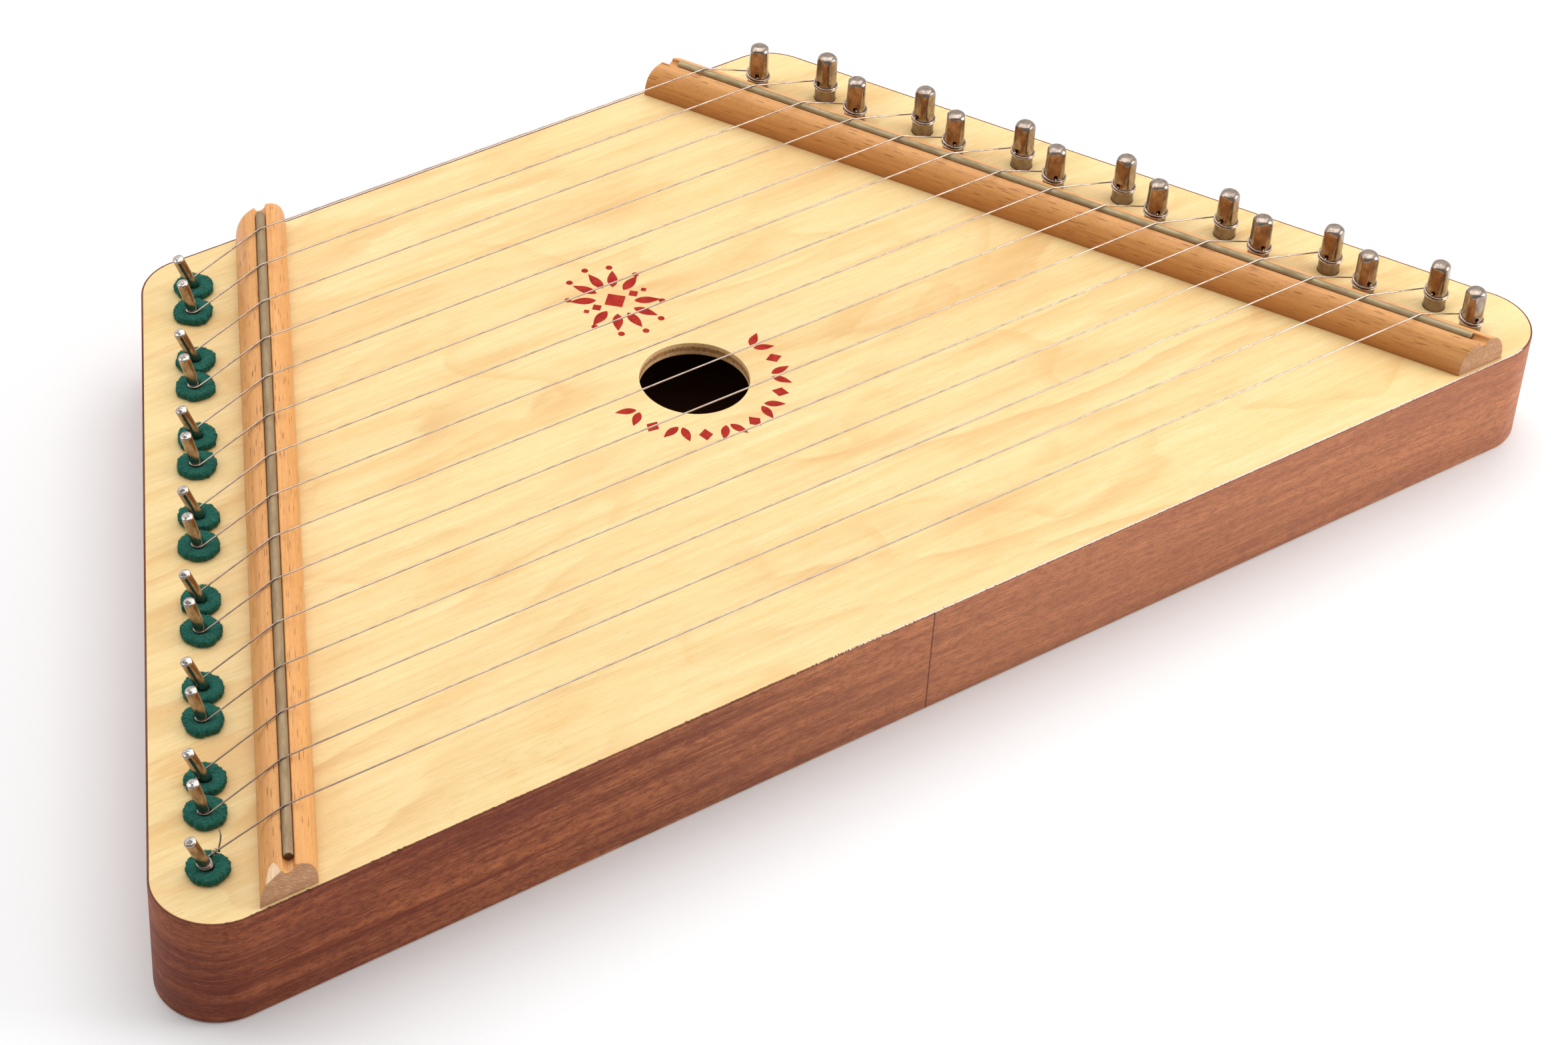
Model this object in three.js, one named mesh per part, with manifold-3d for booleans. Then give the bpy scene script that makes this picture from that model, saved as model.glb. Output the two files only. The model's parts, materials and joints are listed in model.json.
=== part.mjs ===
// A fifteen-string lap psaltery: a trapezoidal soundbox with a plywood soundboard and back, two wooden
// pin blocks joined by two rails, a veneer band round the side, two bridges with brass rods, and steel
// strings that run from leaning hitch pins on the left to turning zither pins on the right.
//
// Millimetres. +X runs along the strings, from the hitch pins to the tuning pins. +Y runs from the long
// side, which faces the player, to the short side. +Z is up. The origin is on the underside, in the
// middle of the body's width and depth.

import * as THREE from 'three';
import { mergeVertices } from 'three/addons/utils/BufferGeometryUtils.js';
import Module from 'manifold-3d';

const wasm = await Module();
wasm.setup();

// ---- driving dimensions --------------------------------------------------------------------------

const LONG_SIDE = 452; // between the sharp corners of the trapezoid
const SHORT_SIDE = 210; // between the sharp corners of the trapezoid
const DEPTH = 226; // from the long side to the short side
const HEIGHT = 34; // body, from the underside to the top of the soundboard
const CORNER_RADIUS = 16;
const BOARD = 4; // soundboard and back plate
const BAND = 0.8; // side band
const GAP = 0.3; // clearance between neighbouring pieces

const COURSES = 15;
const STRING_PITCH = 14;
const STRINGS_OFFSET = 3.2; // the middle string's distance behind the middle of the body
const WIRE_RADIUS = 0.22;

const BRIDGE_SETBACK = 37.6; // bridge centre line, from the slanted side, along X
const BRIDGE_WIDTH = 13.9;
const BRIDGE_HEIGHT = 9.5;
const BRIDGE_END = 1.2; // from the bridge's end face to the body's long or short side
const ROD_RADIUS = 1.25;
const ROD_LIFT = 9.25; // rod axis above the soundboard
const ROD_END = 4.5; // from the rod's end to the body's long or short side

const HOLE_RADIUS = 15;
const HOLE_Y = -3.6;

const BLOCK_WIDTH = 28; // pin blocks, from the slanted side, along X
const RAIL = 12; // long and short rails
const BRACE_WIDTH = 8;
const BRACE_HEIGHT = 12;
const BRACE_YS = { front: -48, back: 44 };

const SHANK_RADIUS = 3.1; // tuning pin
const TUNING_TOP = 15; // above the soundboard
const TUNING_DEPTH = 24; // below the top of the soundboard
const TUNING_CHAMFER = 1; // at the blind end
const HEAD_FROM = 6.8; // where the squared head starts, above the soundboard
const HEAD_FLATS = { low: 5.5, high: 5.1 }; // across the flats of the head
const HEAD_DOME = 2; // height of the rounded end of the head
const HEAD_CAP = { radius: 2, height: 0.6 }; // the flatter middle of the rounded end
const STRING_HOLE_RADIUS = 0.6;
const STRING_HOLE_LIFT = 6.1; // above the soundboard
const NEAR_ROW = 22.6; // tuning pins 1, 3, 5 and so on, from the slanted side, along X
const FAR_ROW = 15.7; // tuning pins 2, 4, 6 and so on
const COIL_TURNS = 2;
const COIL_PITCH = 0.8;
const COIL_LIFT = 4; // where the string leaves the coil, above the soundboard
const REST_TURN_STEP = 47; // degrees from one tuning pin's rest angle to the next

const HITCH_RADIUS = 1.55;
const HITCH_SETBACK = 15.6; // from the slanted side, along X
const HITCH_STAGGER = 2.2; // how far the two pins of a pair stand inside their strings
const HITCH_LEAN = { odd: 21, even: 15 }; // degrees away from the strings
const HITCH_TOP = 13; // above the soundboard
const HITCH_DEPTH = 15; // below the top of the soundboard
const HITCH_POINT = 2.5; // length of the nail's point
const HITCH_ROUND = 0.8; // height of the rounded end of its head
const HITCH_CAP = { radius: 0.8, height: 0.2 }; // the flatter middle of the rounded end
const FELT_RADIUS = 5.6;
const FELT_TOP = 2.1; // above the soundboard
const KNOT = 4.5; // from the last hitch pin's axis to where its loop closes
const KNOT_LIFT = 0.8; // of the string where it crosses the loop's tail
const LOOP_TAIL = 1; // how far short of the crossing the tail ends

// ---- values worked out from them -------------------------------------------------------------------

const HALF_WIDTH = (LONG_SIDE + SHORT_SIDE) / 4; // of the body, at the middle of its depth
const SLOPE = (LONG_SIDE - SHORT_SIDE) / 2 / DEPTH; // how much narrower each side gets per mm of Y
const SLANT = Math.hypot(1, SLOPE);
const SKIN = BAND + GAP; // from the body's outline to the wood behind the band
const FRAME_BOTTOM = BOARD;
const FRAME_TOP = HEIGHT - BOARD - GAP;
const COIL_RADIUS = SHANK_RADIUS + GAP + WIRE_RADIUS;
const LOOP_RADIUS = HITCH_RADIUS + GAP + WIRE_RADIUS;
const LOOP_LIFT = FELT_TOP + GAP + WIRE_RADIUS;
const STRING_LIFT = ROD_LIFT + ROD_RADIUS + GAP + WIRE_RADIUS;

const halfWidthAt = (y) => HALF_WIDTH - SLOPE * y;
const courseY = (course) => (8 - course) * STRING_PITCH + STRINGS_OFFSET;
const isOdd = (course) => course % 2 === 1;
const radians = THREE.MathUtils.degToRad;
const label = (number) => String(number).padStart(2, '0');

function tuningPinXY(course) {
  const y = courseY(course) - COIL_RADIUS;
  return [halfWidthAt(y) - (isOdd(course) ? NEAR_ROW : FAR_ROW), y];
}

// The last course is alone and its pin stands in line with its string. The others are in pairs, whose
// one wire runs round both pins.
function hitchPinXY(course) {
  const stagger = isOdd(course) ? -HITCH_STAGGER : HITCH_STAGGER;
  const y = courseY(course) + (course === COURSES ? 0 : stagger);
  return [HITCH_SETBACK - halfWidthAt(y), y];
}

// ---- materials ---------------------------------------------------------------------------------------

const finish = (color, roughness, metalness = 0) =>
  new THREE.MeshStandardMaterial({ color, roughness, metalness });

const birchPly = finish(0xf2cf8a, 0.45);
const sapele = finish(0x8a4a35, 0.5);
const beech = finish(0xcf9459, 0.5);
const pine = finish(0xdcbf8e, 0.7);
const brass = finish(0xa8925a, 0.35, 1);
const nickel = finish(0xb9b2a8, 0.2, 1);
const steel = finish(0x8f8a86, 0.3, 1);
const felt = finish(0x14503f, 1);

// ---- helpers -----------------------------------------------------------------------------------------

function solid(geometry) {
  const bare = geometry.clone();
  bare.deleteAttribute('normal');
  bare.deleteAttribute('uv');
  const merged = mergeVertices(bare);
  const vertProperties = new Float32Array(merged.attributes.position.array);
  const triVerts = new Uint32Array(merged.index.array);
  return new wasm.Manifold(new wasm.Mesh({ numProp: 3, vertProperties, triVerts }));
}

function geometryOf(manifold) {
  const { vertProperties, triVerts } = manifold.getMesh();
  const geometry = new THREE.BufferGeometry();
  geometry.setAttribute('position', new THREE.BufferAttribute(new Float32Array(vertProperties), 3));
  geometry.setIndex(new THREE.BufferAttribute(new Uint32Array(triVerts), 1));
  geometry.computeVertexNormals();
  return geometry;
}

function piece(name, geometry, material) {
  const mesh = new THREE.Mesh(geometry, material);
  mesh.name = name;
  return mesh;
}

function prism(shape, bottom, top) {
  const geometry = new THREE.ExtrudeGeometry(shape, {
    depth: top - bottom,
    bevelEnabled: false,
    curveSegments: 6,
  });
  return geometry.translate(0, 0, bottom);
}

function box(low, high) {
  const size = high.map((value, axis) => value - low[axis]);
  const middle = high.map((value, axis) => (value + low[axis]) / 2);
  return new THREE.BoxGeometry(...size).translate(...middle);
}

// The body's outline, moved inwards by inset: four sides with round corners.
function bodyOutline(inset) {
  const sideNormal = Math.atan(SLOPE);
  const radius = CORNER_RADIUS - inset;
  const frontY = CORNER_RADIUS - DEPTH / 2;
  const backY = DEPTH / 2 - CORNER_RADIUS;
  const frontX = halfWidthAt(frontY) - CORNER_RADIUS * SLANT;
  const backX = halfWidthAt(backY) - CORNER_RADIUS * SLANT;
  const shape = new THREE.Shape();
  shape.absarc(-frontX, frontY, radius, Math.PI - sideNormal, Math.PI * 1.5, false);
  shape.absarc(frontX, frontY, radius, -Math.PI / 2, sideNormal, false);
  shape.absarc(backX, backY, radius, sideNormal, Math.PI / 2, false);
  shape.absarc(-backX, backY, radius, Math.PI / 2, Math.PI - sideNormal, false);
  return shape;
}

// A solid whose section is drawn across a slanted side, run along that side through the body's middle.
// side is 1 for the right side and -1 for the left. The section's x is away from the strings.
function alongSide(section, side, setback, length) {
  const geometry = new THREE.ExtrudeGeometry(section, { depth: length, bevelEnabled: false });
  geometry.translate(0, 0, -length / 2);
  const across = new THREE.Vector3(side, SLOPE, 0).normalize();
  const up = new THREE.Vector3(0, 0, 1);
  const along = new THREE.Vector3().crossVectors(across, up);
  geometry.applyMatrix4(new THREE.Matrix4().makeBasis(across, up, along));
  return geometry.translate(side * (HALF_WIDTH - setback), 0, 0);
}

// Everything between the two planes that are parallel to the long and short sides, end from each.
function depthSlab(end) {
  return solid(box([-LONG_SIDE, end - DEPTH / 2, -HEIGHT], [LONG_SIDE, DEPTH / 2 - end, 2 * HEIGHT]));
}

function roundBar(radius, from, to, sides) {
  const direction = new THREE.Vector3().subVectors(to, from);
  const geometry = new THREE.CylinderGeometry(radius, radius, direction.length(), sides);
  geometry.translate(0, direction.length() / 2, 0);
  const turn = new THREE.Quaternion().setFromUnitVectors(
    new THREE.Vector3(0, 1, 0),
    direction.normalize(),
  );
  return geometry.applyQuaternion(turn).translate(from.x, from.y, from.z);
}

// ---- soundbox ----------------------------------------------------------------------------------------

const PIN_HOLE_SIDES = 12;
const NAIL_HOLE_SIDES = 8;
const clearRadius = (radius, sides) => (radius + GAP) / Math.cos(Math.PI / sides);

// The shape of a tuning pin's hole, from its blind end up through the soundboard.
function tuningPinHole(course) {
  const [x, y] = tuningPinXY(course);
  const bottom = new THREE.Vector3(x, y, HEIGHT - TUNING_DEPTH - GAP);
  const top = new THREE.Vector3(x, y, HEIGHT + BOARD);
  return solid(roundBar(clearRadius(SHANK_RADIUS, PIN_HOLE_SIDES), bottom, top, PIN_HOLE_SIDES));
}

// A point on a hitch pin's axis, at a height above the soundboard.
function hitchPinPoint(course, lift) {
  const [x, y] = hitchPinXY(course);
  const lean = radians(isOdd(course) ? HITCH_LEAN.odd : HITCH_LEAN.even);
  return new THREE.Vector3(x - (lift - LOOP_LIFT) * Math.tan(lean), y, HEIGHT + lift);
}

function hitchPinHole(course) {
  const from = hitchPinPoint(course, -HITCH_DEPTH - 2 * GAP);
  const to = hitchPinPoint(course, BOARD);
  return solid(roundBar(clearRadius(HITCH_RADIUS, NAIL_HOLE_SIDES), from, to, NAIL_HOLE_SIDES));
}

const courses = Array.from({ length: COURSES }, (_, index) => index + 1);

function soundboard() {
  const plate = bodyOutline(SKIN);
  const hole = new THREE.Path();
  const SIDES = 32;
  for (let step = 0; step <= SIDES; step += 1) {
    const angle = (-step / SIDES) * 2 * Math.PI;
    const x = HOLE_RADIUS * Math.cos(angle);
    const y = HOLE_Y + HOLE_RADIUS * Math.sin(angle);
    if (step === 0) hole.moveTo(x, y);
    else hole.lineTo(x, y);
  }
  plate.holes.push(hole);
  let board = solid(prism(plate, HEIGHT - BOARD, HEIGHT));
  for (const course of courses) {
    board = board.subtract(tuningPinHole(course)).subtract(hitchPinHole(course));
  }
  return geometryOf(board);
}

const backPlate = () => prism(bodyOutline(SKIN), 0, BOARD - GAP);

// The band's two ends meet in a butt seam in the middle of the long side.
function sideBand() {
  const ring = bodyOutline(0);
  ring.holes.push(bodyOutline(BAND));
  const seam = box([-GAP / 2, -DEPTH, -HEIGHT], [GAP / 2, 0, 2 * HEIGHT]);
  return geometryOf(solid(prism(ring, GAP, HEIGHT)).subtract(solid(seam)));
}

const framePrism = () => solid(prism(bodyOutline(SKIN), FRAME_BOTTOM, FRAME_TOP));

// A slab along a slanted side, from the side to a distance inside it, measured along X.
function sideSlab(side, inside) {
  const section = new THREE.Shape();
  const inner = -inside / SLANT;
  const outer = CORNER_RADIUS;
  section.moveTo(inner, -HEIGHT);
  section.lineTo(outer, -HEIGHT);
  section.lineTo(outer, 2 * HEIGHT);
  section.lineTo(inner, 2 * HEIGHT);
  section.closePath();
  return solid(alongSide(section, side, 0, 2 * DEPTH));
}

function pinBlock(side, holeOf) {
  let block = framePrism().intersect(sideSlab(side, BLOCK_WIDTH));
  for (const course of courses) {
    block = block.subtract(holeOf(course));
  }
  return geometryOf(block);
}

// What is left of the body between the two pin blocks, clear of both.
function betweenBlocks(manifold) {
  const clear = BLOCK_WIDTH + GAP * SLANT;
  return manifold.subtract(sideSlab(1, clear)).subtract(sideSlab(-1, clear));
}

// side is -1 for the long side's rail and 1 for the short side's.
function rail(side) {
  const outer = (side * DEPTH) / 2;
  const inner = outer - side * RAIL;
  const low = [-LONG_SIDE, Math.min(outer, inner), 0];
  const high = [LONG_SIDE, Math.max(outer, inner), HEIGHT];
  return geometryOf(betweenBlocks(framePrism().intersect(solid(box(low, high)))));
}

// A bar under the soundboard, parallel to the strings.
function brace(y) {
  const low = [-LONG_SIDE, y - BRACE_WIDTH / 2, FRAME_TOP - BRACE_HEIGHT];
  const high = [LONG_SIDE, y + BRACE_WIDTH / 2, FRAME_TOP];
  return geometryOf(betweenBlocks(framePrism().intersect(solid(box(low, high)))));
}

// ---- bridges -----------------------------------------------------------------------------------------

// A flat-footed half-round section with a groove along its top for the rod.
function bridgeSection() {
  const foot = HEIGHT + GAP;
  const halfWidth = BRIDGE_WIDTH / 2;
  const grooveRadius = ROD_RADIUS + GAP;
  const grooveY = HEIGHT + ROD_LIFT;
  const SQUARENESS = 2.5; // exponent of the superellipse: 2 is a plain ellipse
  const STEPS = 7;
  const onCrown = (angle) => [
    halfWidth * Math.cos(angle) ** (2 / SQUARENESS),
    foot + (BRIDGE_HEIGHT - GAP) * Math.sin(angle) ** (2 / SQUARENESS),
  ];
  const crown = [];
  for (let step = 0; step <= STEPS; step += 1) {
    const [x, y] = onCrown((step / STEPS) * (Math.PI / 2));
    if (x > grooveRadius) crown.push([x, y]);
  }
  const groove = [1, 0.5, 0, -0.5, -1].map((part) => {
    const x = grooveRadius * Math.sin((part * Math.PI) / 2);
    return [x, grooveY - Math.sqrt(Math.max(0, grooveRadius ** 2 - x ** 2))];
  });
  const left = crown.map(([x, y]) => [-x, y]).reverse();
  const section = new THREE.Shape();
  section.setFromPoints([...crown, ...groove, ...left].map(([x, y]) => new THREE.Vector2(x, y)));
  return section;
}

function bridge(side) {
  const bar = solid(alongSide(bridgeSection(), side, BRIDGE_SETBACK, 2 * DEPTH));
  return geometryOf(bar.intersect(depthSlab(BRIDGE_END)));
}

const ROD_SIDES = 12;

function bridgeRod(side) {
  const endPoint = (y) =>
    new THREE.Vector3(side * (halfWidthAt(y) - BRIDGE_SETBACK), y, HEIGHT + ROD_LIFT);
  const endY = DEPTH / 2 - ROD_END;
  return roundBar(ROD_RADIUS, endPoint(-endY), endPoint(endY), ROD_SIDES);
}

// ---- pins and felt -----------------------------------------------------------------------------------

// Turned about the pin's own axis, with z measured from the top of the soundboard.
function lathe(profile, sides) {
  const points = profile.map(([radius, z]) => new THREE.Vector2(radius, z));
  return new THREE.LatheGeometry(points, sides).rotateX(Math.PI / 2);
}

function tuningPinGeometry() {
  const round = solid(
    lathe(
      [
        [0, -TUNING_DEPTH],
        [SHANK_RADIUS - TUNING_CHAMFER, -TUNING_DEPTH],
        [SHANK_RADIUS, TUNING_CHAMFER - TUNING_DEPTH],
        [SHANK_RADIUS, TUNING_TOP - HEAD_DOME],
        [HEAD_CAP.radius, TUNING_TOP - HEAD_CAP.height],
        [0, TUNING_TOP],
      ],
      PIN_HOLE_SIDES,
    ),
  );
  const headHeight = TUNING_TOP - HEAD_FROM + 2 * GAP; // runs on past both ends
  const flats = new THREE.CylinderGeometry(
    HEAD_FLATS.high / Math.SQRT2,
    HEAD_FLATS.low / Math.SQRT2,
    headHeight,
    4,
  );
  flats.rotateX(Math.PI / 2).translate(0, 0, HEAD_FROM - GAP + headHeight / 2);
  const WIDE = 2 * SHANK_RADIUS;
  const shankZone = solid(box([-WIDE, -WIDE, -2 * TUNING_DEPTH], [WIDE, WIDE, HEAD_FROM]));
  const shank = round.intersect(shankZone);
  const head = round.intersect(solid(flats));
  const hole = roundBar(
    STRING_HOLE_RADIUS,
    new THREE.Vector3(-WIDE, 0, STRING_HOLE_LIFT),
    new THREE.Vector3(WIDE, 0, STRING_HOLE_LIFT),
    6,
  );
  return geometryOf(shank.add(head).subtract(solid(hole)));
}

// Each pin comes to rest at its own angle, as tuning leaves it. A square head looks the same every
// quarter turn.
const restTurn = (course) => radians((course * REST_TURN_STEP) % 90);

function hitchPinGeometry(course) {
  const lean = radians(isOdd(course) ? HITCH_LEAN.odd : HITCH_LEAN.even);
  const length = (lift) => (lift - LOOP_LIFT) / Math.cos(lean);
  const nail = lathe(
    [
      [0, length(-HITCH_DEPTH)],
      [HITCH_RADIUS, length(-HITCH_DEPTH) + HITCH_POINT],
      [HITCH_RADIUS, length(HITCH_TOP) - HITCH_ROUND],
      [HITCH_CAP.radius, length(HITCH_TOP) - HITCH_CAP.height],
      [0, length(HITCH_TOP)],
    ],
    NAIL_HOLE_SIDES,
  );
  const base = hitchPinPoint(course, LOOP_LIFT);
  return nail.rotateY(-lean).translate(base.x, base.y, base.z);
}

// The two washers of a pair press against each other, so a pair is one solid.
function feltWashers(group) {
  const SIDES = 16;
  let washers = null;
  for (const course of group) {
    const middle = hitchPinPoint(course, (FELT_TOP + GAP) / 2);
    const disc = solid(
      roundBar(
        FELT_RADIUS,
        new THREE.Vector3(middle.x, middle.y, HEIGHT + GAP),
        new THREE.Vector3(middle.x, middle.y, HEIGHT + FELT_TOP),
        SIDES,
      ),
    );
    washers = washers ? washers.add(disc) : disc;
  }
  for (const course of group) {
    washers = washers.subtract(hitchPinHole(course));
  }
  return geometryOf(washers);
}

// ---- strings -----------------------------------------------------------------------------------------

// A route through points that are used as they are, not spaced out again.
class Route extends THREE.Curve {
  constructor(points) {
    super();
    this.points = points;
  }

  getPointAt(u, target = new THREE.Vector3()) {
    return target.copy(this.points[Math.round(u * (this.points.length - 1))]);
  }

  getTangentAt(u, target = new THREE.Vector3()) {
    const index = Math.round(u * (this.points.length - 1));
    const before = this.points[Math.max(index - 1, 0)];
    const after = this.points[Math.min(index + 1, this.points.length - 1)];
    return target.subVectors(after, before).normalize();
  }
}

const WIRE_SIDES = 5;

function wire(points) {
  const section = new THREE.Shape();
  const corners = Array.from({ length: WIRE_SIDES }, (_, index) => {
    const angle = (index / WIRE_SIDES) * 2 * Math.PI;
    return new THREE.Vector2(WIRE_RADIUS * Math.cos(angle), WIRE_RADIUS * Math.sin(angle));
  });
  section.setFromPoints(corners);
  return new THREE.ExtrudeGeometry(section, {
    steps: points.length - 1,
    extrudePath: new Route(points),
    bevelEnabled: false,
  });
}

// From the string hole's level down round the tuning pin, to where the wire leaves for the bridge.
function coilPoints(course) {
  const [x, y] = tuningPinXY(course);
  const STEPS_PER_TURN = 9;
  const steps = COIL_TURNS * STEPS_PER_TURN;
  const points = [];
  for (let step = 0; step <= steps; step += 1) {
    const turns = COIL_TURNS - step / STEPS_PER_TURN;
    const angle = Math.PI / 2 - turns * 2 * Math.PI;
    const z = HEIGHT + COIL_LIFT + turns * COIL_PITCH;
    points.push(
      new THREE.Vector3(x + COIL_RADIUS * Math.cos(angle), y + COIL_RADIUS * Math.sin(angle), z),
    );
  }
  return points;
}

const overRod = (course, side) => {
  const y = courseY(course);
  return new THREE.Vector3(side * (halfWidthAt(y) - BRIDGE_SETBACK), y, HEIGHT + STRING_LIFT);
};

// Points round a hitch pin at the felt's level, between two angles in degrees.
function roundHitchPin(course, fromAngle, toAngle, steps) {
  const [x, y] = hitchPinXY(course);
  return Array.from({ length: steps + 1 }, (_, step) => {
    const angle = radians(THREE.MathUtils.lerp(fromAngle, toAngle, step / steps));
    const offset = [LOOP_RADIUS * Math.cos(angle), LOOP_RADIUS * Math.sin(angle)];
    return new THREE.Vector3(x + offset[0], y + offset[1], HEIGHT + LOOP_LIFT);
  });
}

// One wire makes two courses: it runs round the outer side of both hitch pins.
function pairedString(odd, even) {
  return wire([
    ...coilPoints(odd),
    overRod(odd, 1),
    overRod(odd, -1),
    ...roundHitchPin(odd, 80, 180, 3),
    ...roundHitchPin(even, 180, 280, 3),
    overRod(even, -1),
    overRod(even, 1),
    ...coilPoints(even).reverse(),
  ]);
}

// The last wire ends in a loop round its own hitch pin.
function lastString() {
  const [x, y] = hitchPinXY(COURSES);
  const level = HEIGHT + LOOP_LIFT;
  const knot = new THREE.Vector3(x + KNOT, y + WIRE_RADIUS, level + KNOT_LIFT);
  const tail = new THREE.Vector3(x + KNOT - LOOP_TAIL, y - 2 * WIRE_RADIUS - GAP, level);
  return wire([
    ...coilPoints(COURSES),
    overRod(COURSES, 1),
    overRod(COURSES, -1),
    knot,
    ...roundHitchPin(COURSES, 60, 300, 6),
    tail,
  ]);
}

// ---- assembly ----------------------------------------------------------------------------------------

const psaltery = new THREE.Group();

psaltery.add(
  piece('soundboard', soundboard(), birchPly),
  piece('back_plate', backPlate(), birchPly),
  piece('side_band', sideBand(), sapele),
  piece('hitch_pin_block', pinBlock(-1, hitchPinHole), beech),
  piece('tuning_pin_block', pinBlock(1, tuningPinHole), beech),
  piece('long_rail', rail(-1), pine),
  piece('short_rail', rail(1), pine),
  piece('soundboard_brace_front', brace(BRACE_YS.front), pine),
  piece('soundboard_brace_back', brace(BRACE_YS.back), pine),
  piece('left_bridge', bridge(-1), beech),
  piece('right_bridge', bridge(1), beech),
  piece('left_bridge_rod', bridgeRod(-1), brass),
  piece('right_bridge_rod', bridgeRod(1), brass),
);

const tuningPin = tuningPinGeometry();
for (const course of courses) {
  const [x, y] = tuningPinXY(course);
  const pin = piece(`tuning_pin_${label(course)}`, tuningPin, nickel);
  pin.position.set(x, y, HEIGHT);
  pin.rotation.z = restTurn(course);
  psaltery.add(pin);
  psaltery.add(piece(`hitch_pin_${label(course)}`, hitchPinGeometry(course), nickel));
}

for (let odd = 1; odd < COURSES; odd += 2) {
  const pair = `${label(odd)}_${label(odd + 1)}`;
  psaltery.add(piece(`felt_washers_${pair}`, feltWashers([odd, odd + 1]), felt));
  psaltery.add(piece(`string_${pair}`, pairedString(odd, odd + 1), steel));
}
psaltery.add(piece(`felt_washer_${label(COURSES)}`, feltWashers([COURSES]), felt));
psaltery.add(piece(`string_${label(COURSES)}`, lastString(), steel));

export default psaltery;
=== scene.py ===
import json
import math
import random

import bmesh
import bpy
import numpy as np
from mathutils import Matrix, Vector, noise


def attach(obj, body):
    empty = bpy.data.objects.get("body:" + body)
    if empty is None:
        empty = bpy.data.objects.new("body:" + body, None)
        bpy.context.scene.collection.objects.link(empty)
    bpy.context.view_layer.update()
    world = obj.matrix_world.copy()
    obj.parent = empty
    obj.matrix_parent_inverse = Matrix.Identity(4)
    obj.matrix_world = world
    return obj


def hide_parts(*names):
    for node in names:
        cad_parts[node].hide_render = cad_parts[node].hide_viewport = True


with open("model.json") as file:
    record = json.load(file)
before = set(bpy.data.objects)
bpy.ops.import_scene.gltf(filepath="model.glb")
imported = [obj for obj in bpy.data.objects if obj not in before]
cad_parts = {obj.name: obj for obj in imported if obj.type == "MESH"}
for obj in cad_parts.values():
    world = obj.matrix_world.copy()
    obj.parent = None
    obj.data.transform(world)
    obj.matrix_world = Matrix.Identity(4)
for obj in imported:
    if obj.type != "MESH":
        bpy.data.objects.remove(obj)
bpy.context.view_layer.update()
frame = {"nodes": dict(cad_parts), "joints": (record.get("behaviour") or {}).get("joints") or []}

# A fifteen-string lap psaltery: +X runs along the strings, -Y is the long side, +Z is up, and the
# underside is at z = 0. Everything is in metres, so sizes are written as millimetres times MM.
MM = 0.001

# ---- dimensions shared with the CAD model ----

LONG_SIDE = 452 * MM
SHORT_SIDE = 210 * MM
DEPTH = 226 * MM
HEIGHT = 34 * MM
CORNER_RADIUS = 16 * MM
BOARD = 4 * MM
VENEER = 0.5 * MM  # thinner than the CAD band, whose inner face doesn't show

COURSES = 15
STRING_PITCH = 14 * MM
STRINGS_OFFSET = 3.2 * MM
WIRE_RADIUS = 0.22 * MM

BRIDGE_SETBACK = 37.6 * MM
BRIDGE_WIDTH = 13.9 * MM
BRIDGE_HEIGHT = 9.5 * MM
BRIDGE_END = 1.2 * MM
ROD_RADIUS = 1.25 * MM
ROD_LIFT = 9.25 * MM
ROD_END = 4.5 * MM

HOLE_RADIUS = 15 * MM
HOLE_Y = -3.6 * MM

SHANK_RADIUS = 3.1 * MM
TUNING_TOP = 15 * MM
HEAD_FROM = 6.8 * MM
HEAD_LOW_FLATS = 5.5 * MM
HEAD_HIGH_FLATS = 5.1 * MM
STRING_HOLE_RADIUS = 0.6 * MM
STRING_HOLE_LIFT = 6.1 * MM
COIL_LIFT = 4 * MM

HITCH_RADIUS = 1.55 * MM
HITCH_SETBACK = 15.6 * MM
HITCH_STAGGER = 2.2 * MM
HITCH_LEAN_ODD = math.radians(21)
HITCH_LEAN_EVEN = math.radians(15)
HITCH_TOP = 13 * MM
FELT_RADIUS = 5.6 * MM
FELT_TOP = 2.1 * MM

# ---- values worked out from them ----

HALF_WIDTH = (LONG_SIDE + SHORT_SIDE) / 4
SLOPE = (LONG_SIDE - SHORT_SIDE) / 2 / DEPTH
SLANT = math.hypot(1, SLOPE)
LOOP_LIFT = 2.62 * MM
LOOP_RADIUS = HITCH_RADIUS + WIRE_RADIUS
COIL_RADIUS = SHANK_RADIUS + WIRE_RADIUS + 0.03 * MM
FULL_TURN = 2 * math.pi
COIL_STOP = math.radians(8)  # from the coil's end to the string hole
COIL_LEVEL = math.radians(50)  # of the coil's end: more than the pin turns past rest
UP = Vector((0, 0, 1))
BACK = Vector((0, 1, 0))

# Where each tuning pin's axis meets the top of the soundboard, by course, from the CAD joints.
TUNING_AXES = {int(joint["child"].split("_")[1]): Vector(joint["pos_m"]) for joint in frame["joints"]}


def half_width_at(y):
    return HALF_WIDTH - SLOPE * y


def course_y(course):
    return (8 - course) * STRING_PITCH + STRINGS_OFFSET


def is_odd(course):
    return course % 2 == 1


def rest_turn(course):
    """How far each tuning pin is turned, as tuning has left it. It repeats every 90 degrees."""
    return math.radians((course * 47) % 90)


def hitch_lean(course):
    return HITCH_LEAN_ODD if is_odd(course) else HITCH_LEAN_EVEN


def hitch_point(course, lift):
    """A point on a hitch pin's axis, at a height above the soundboard."""
    y = course_y(course)
    if course < COURSES:
        y += -HITCH_STAGGER if is_odd(course) else HITCH_STAGGER
    x = HITCH_SETBACK - half_width_at(y)
    return Vector((x - (lift - LOOP_LIFT) * math.tan(hitch_lean(course)), y, HEIGHT + lift))


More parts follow.
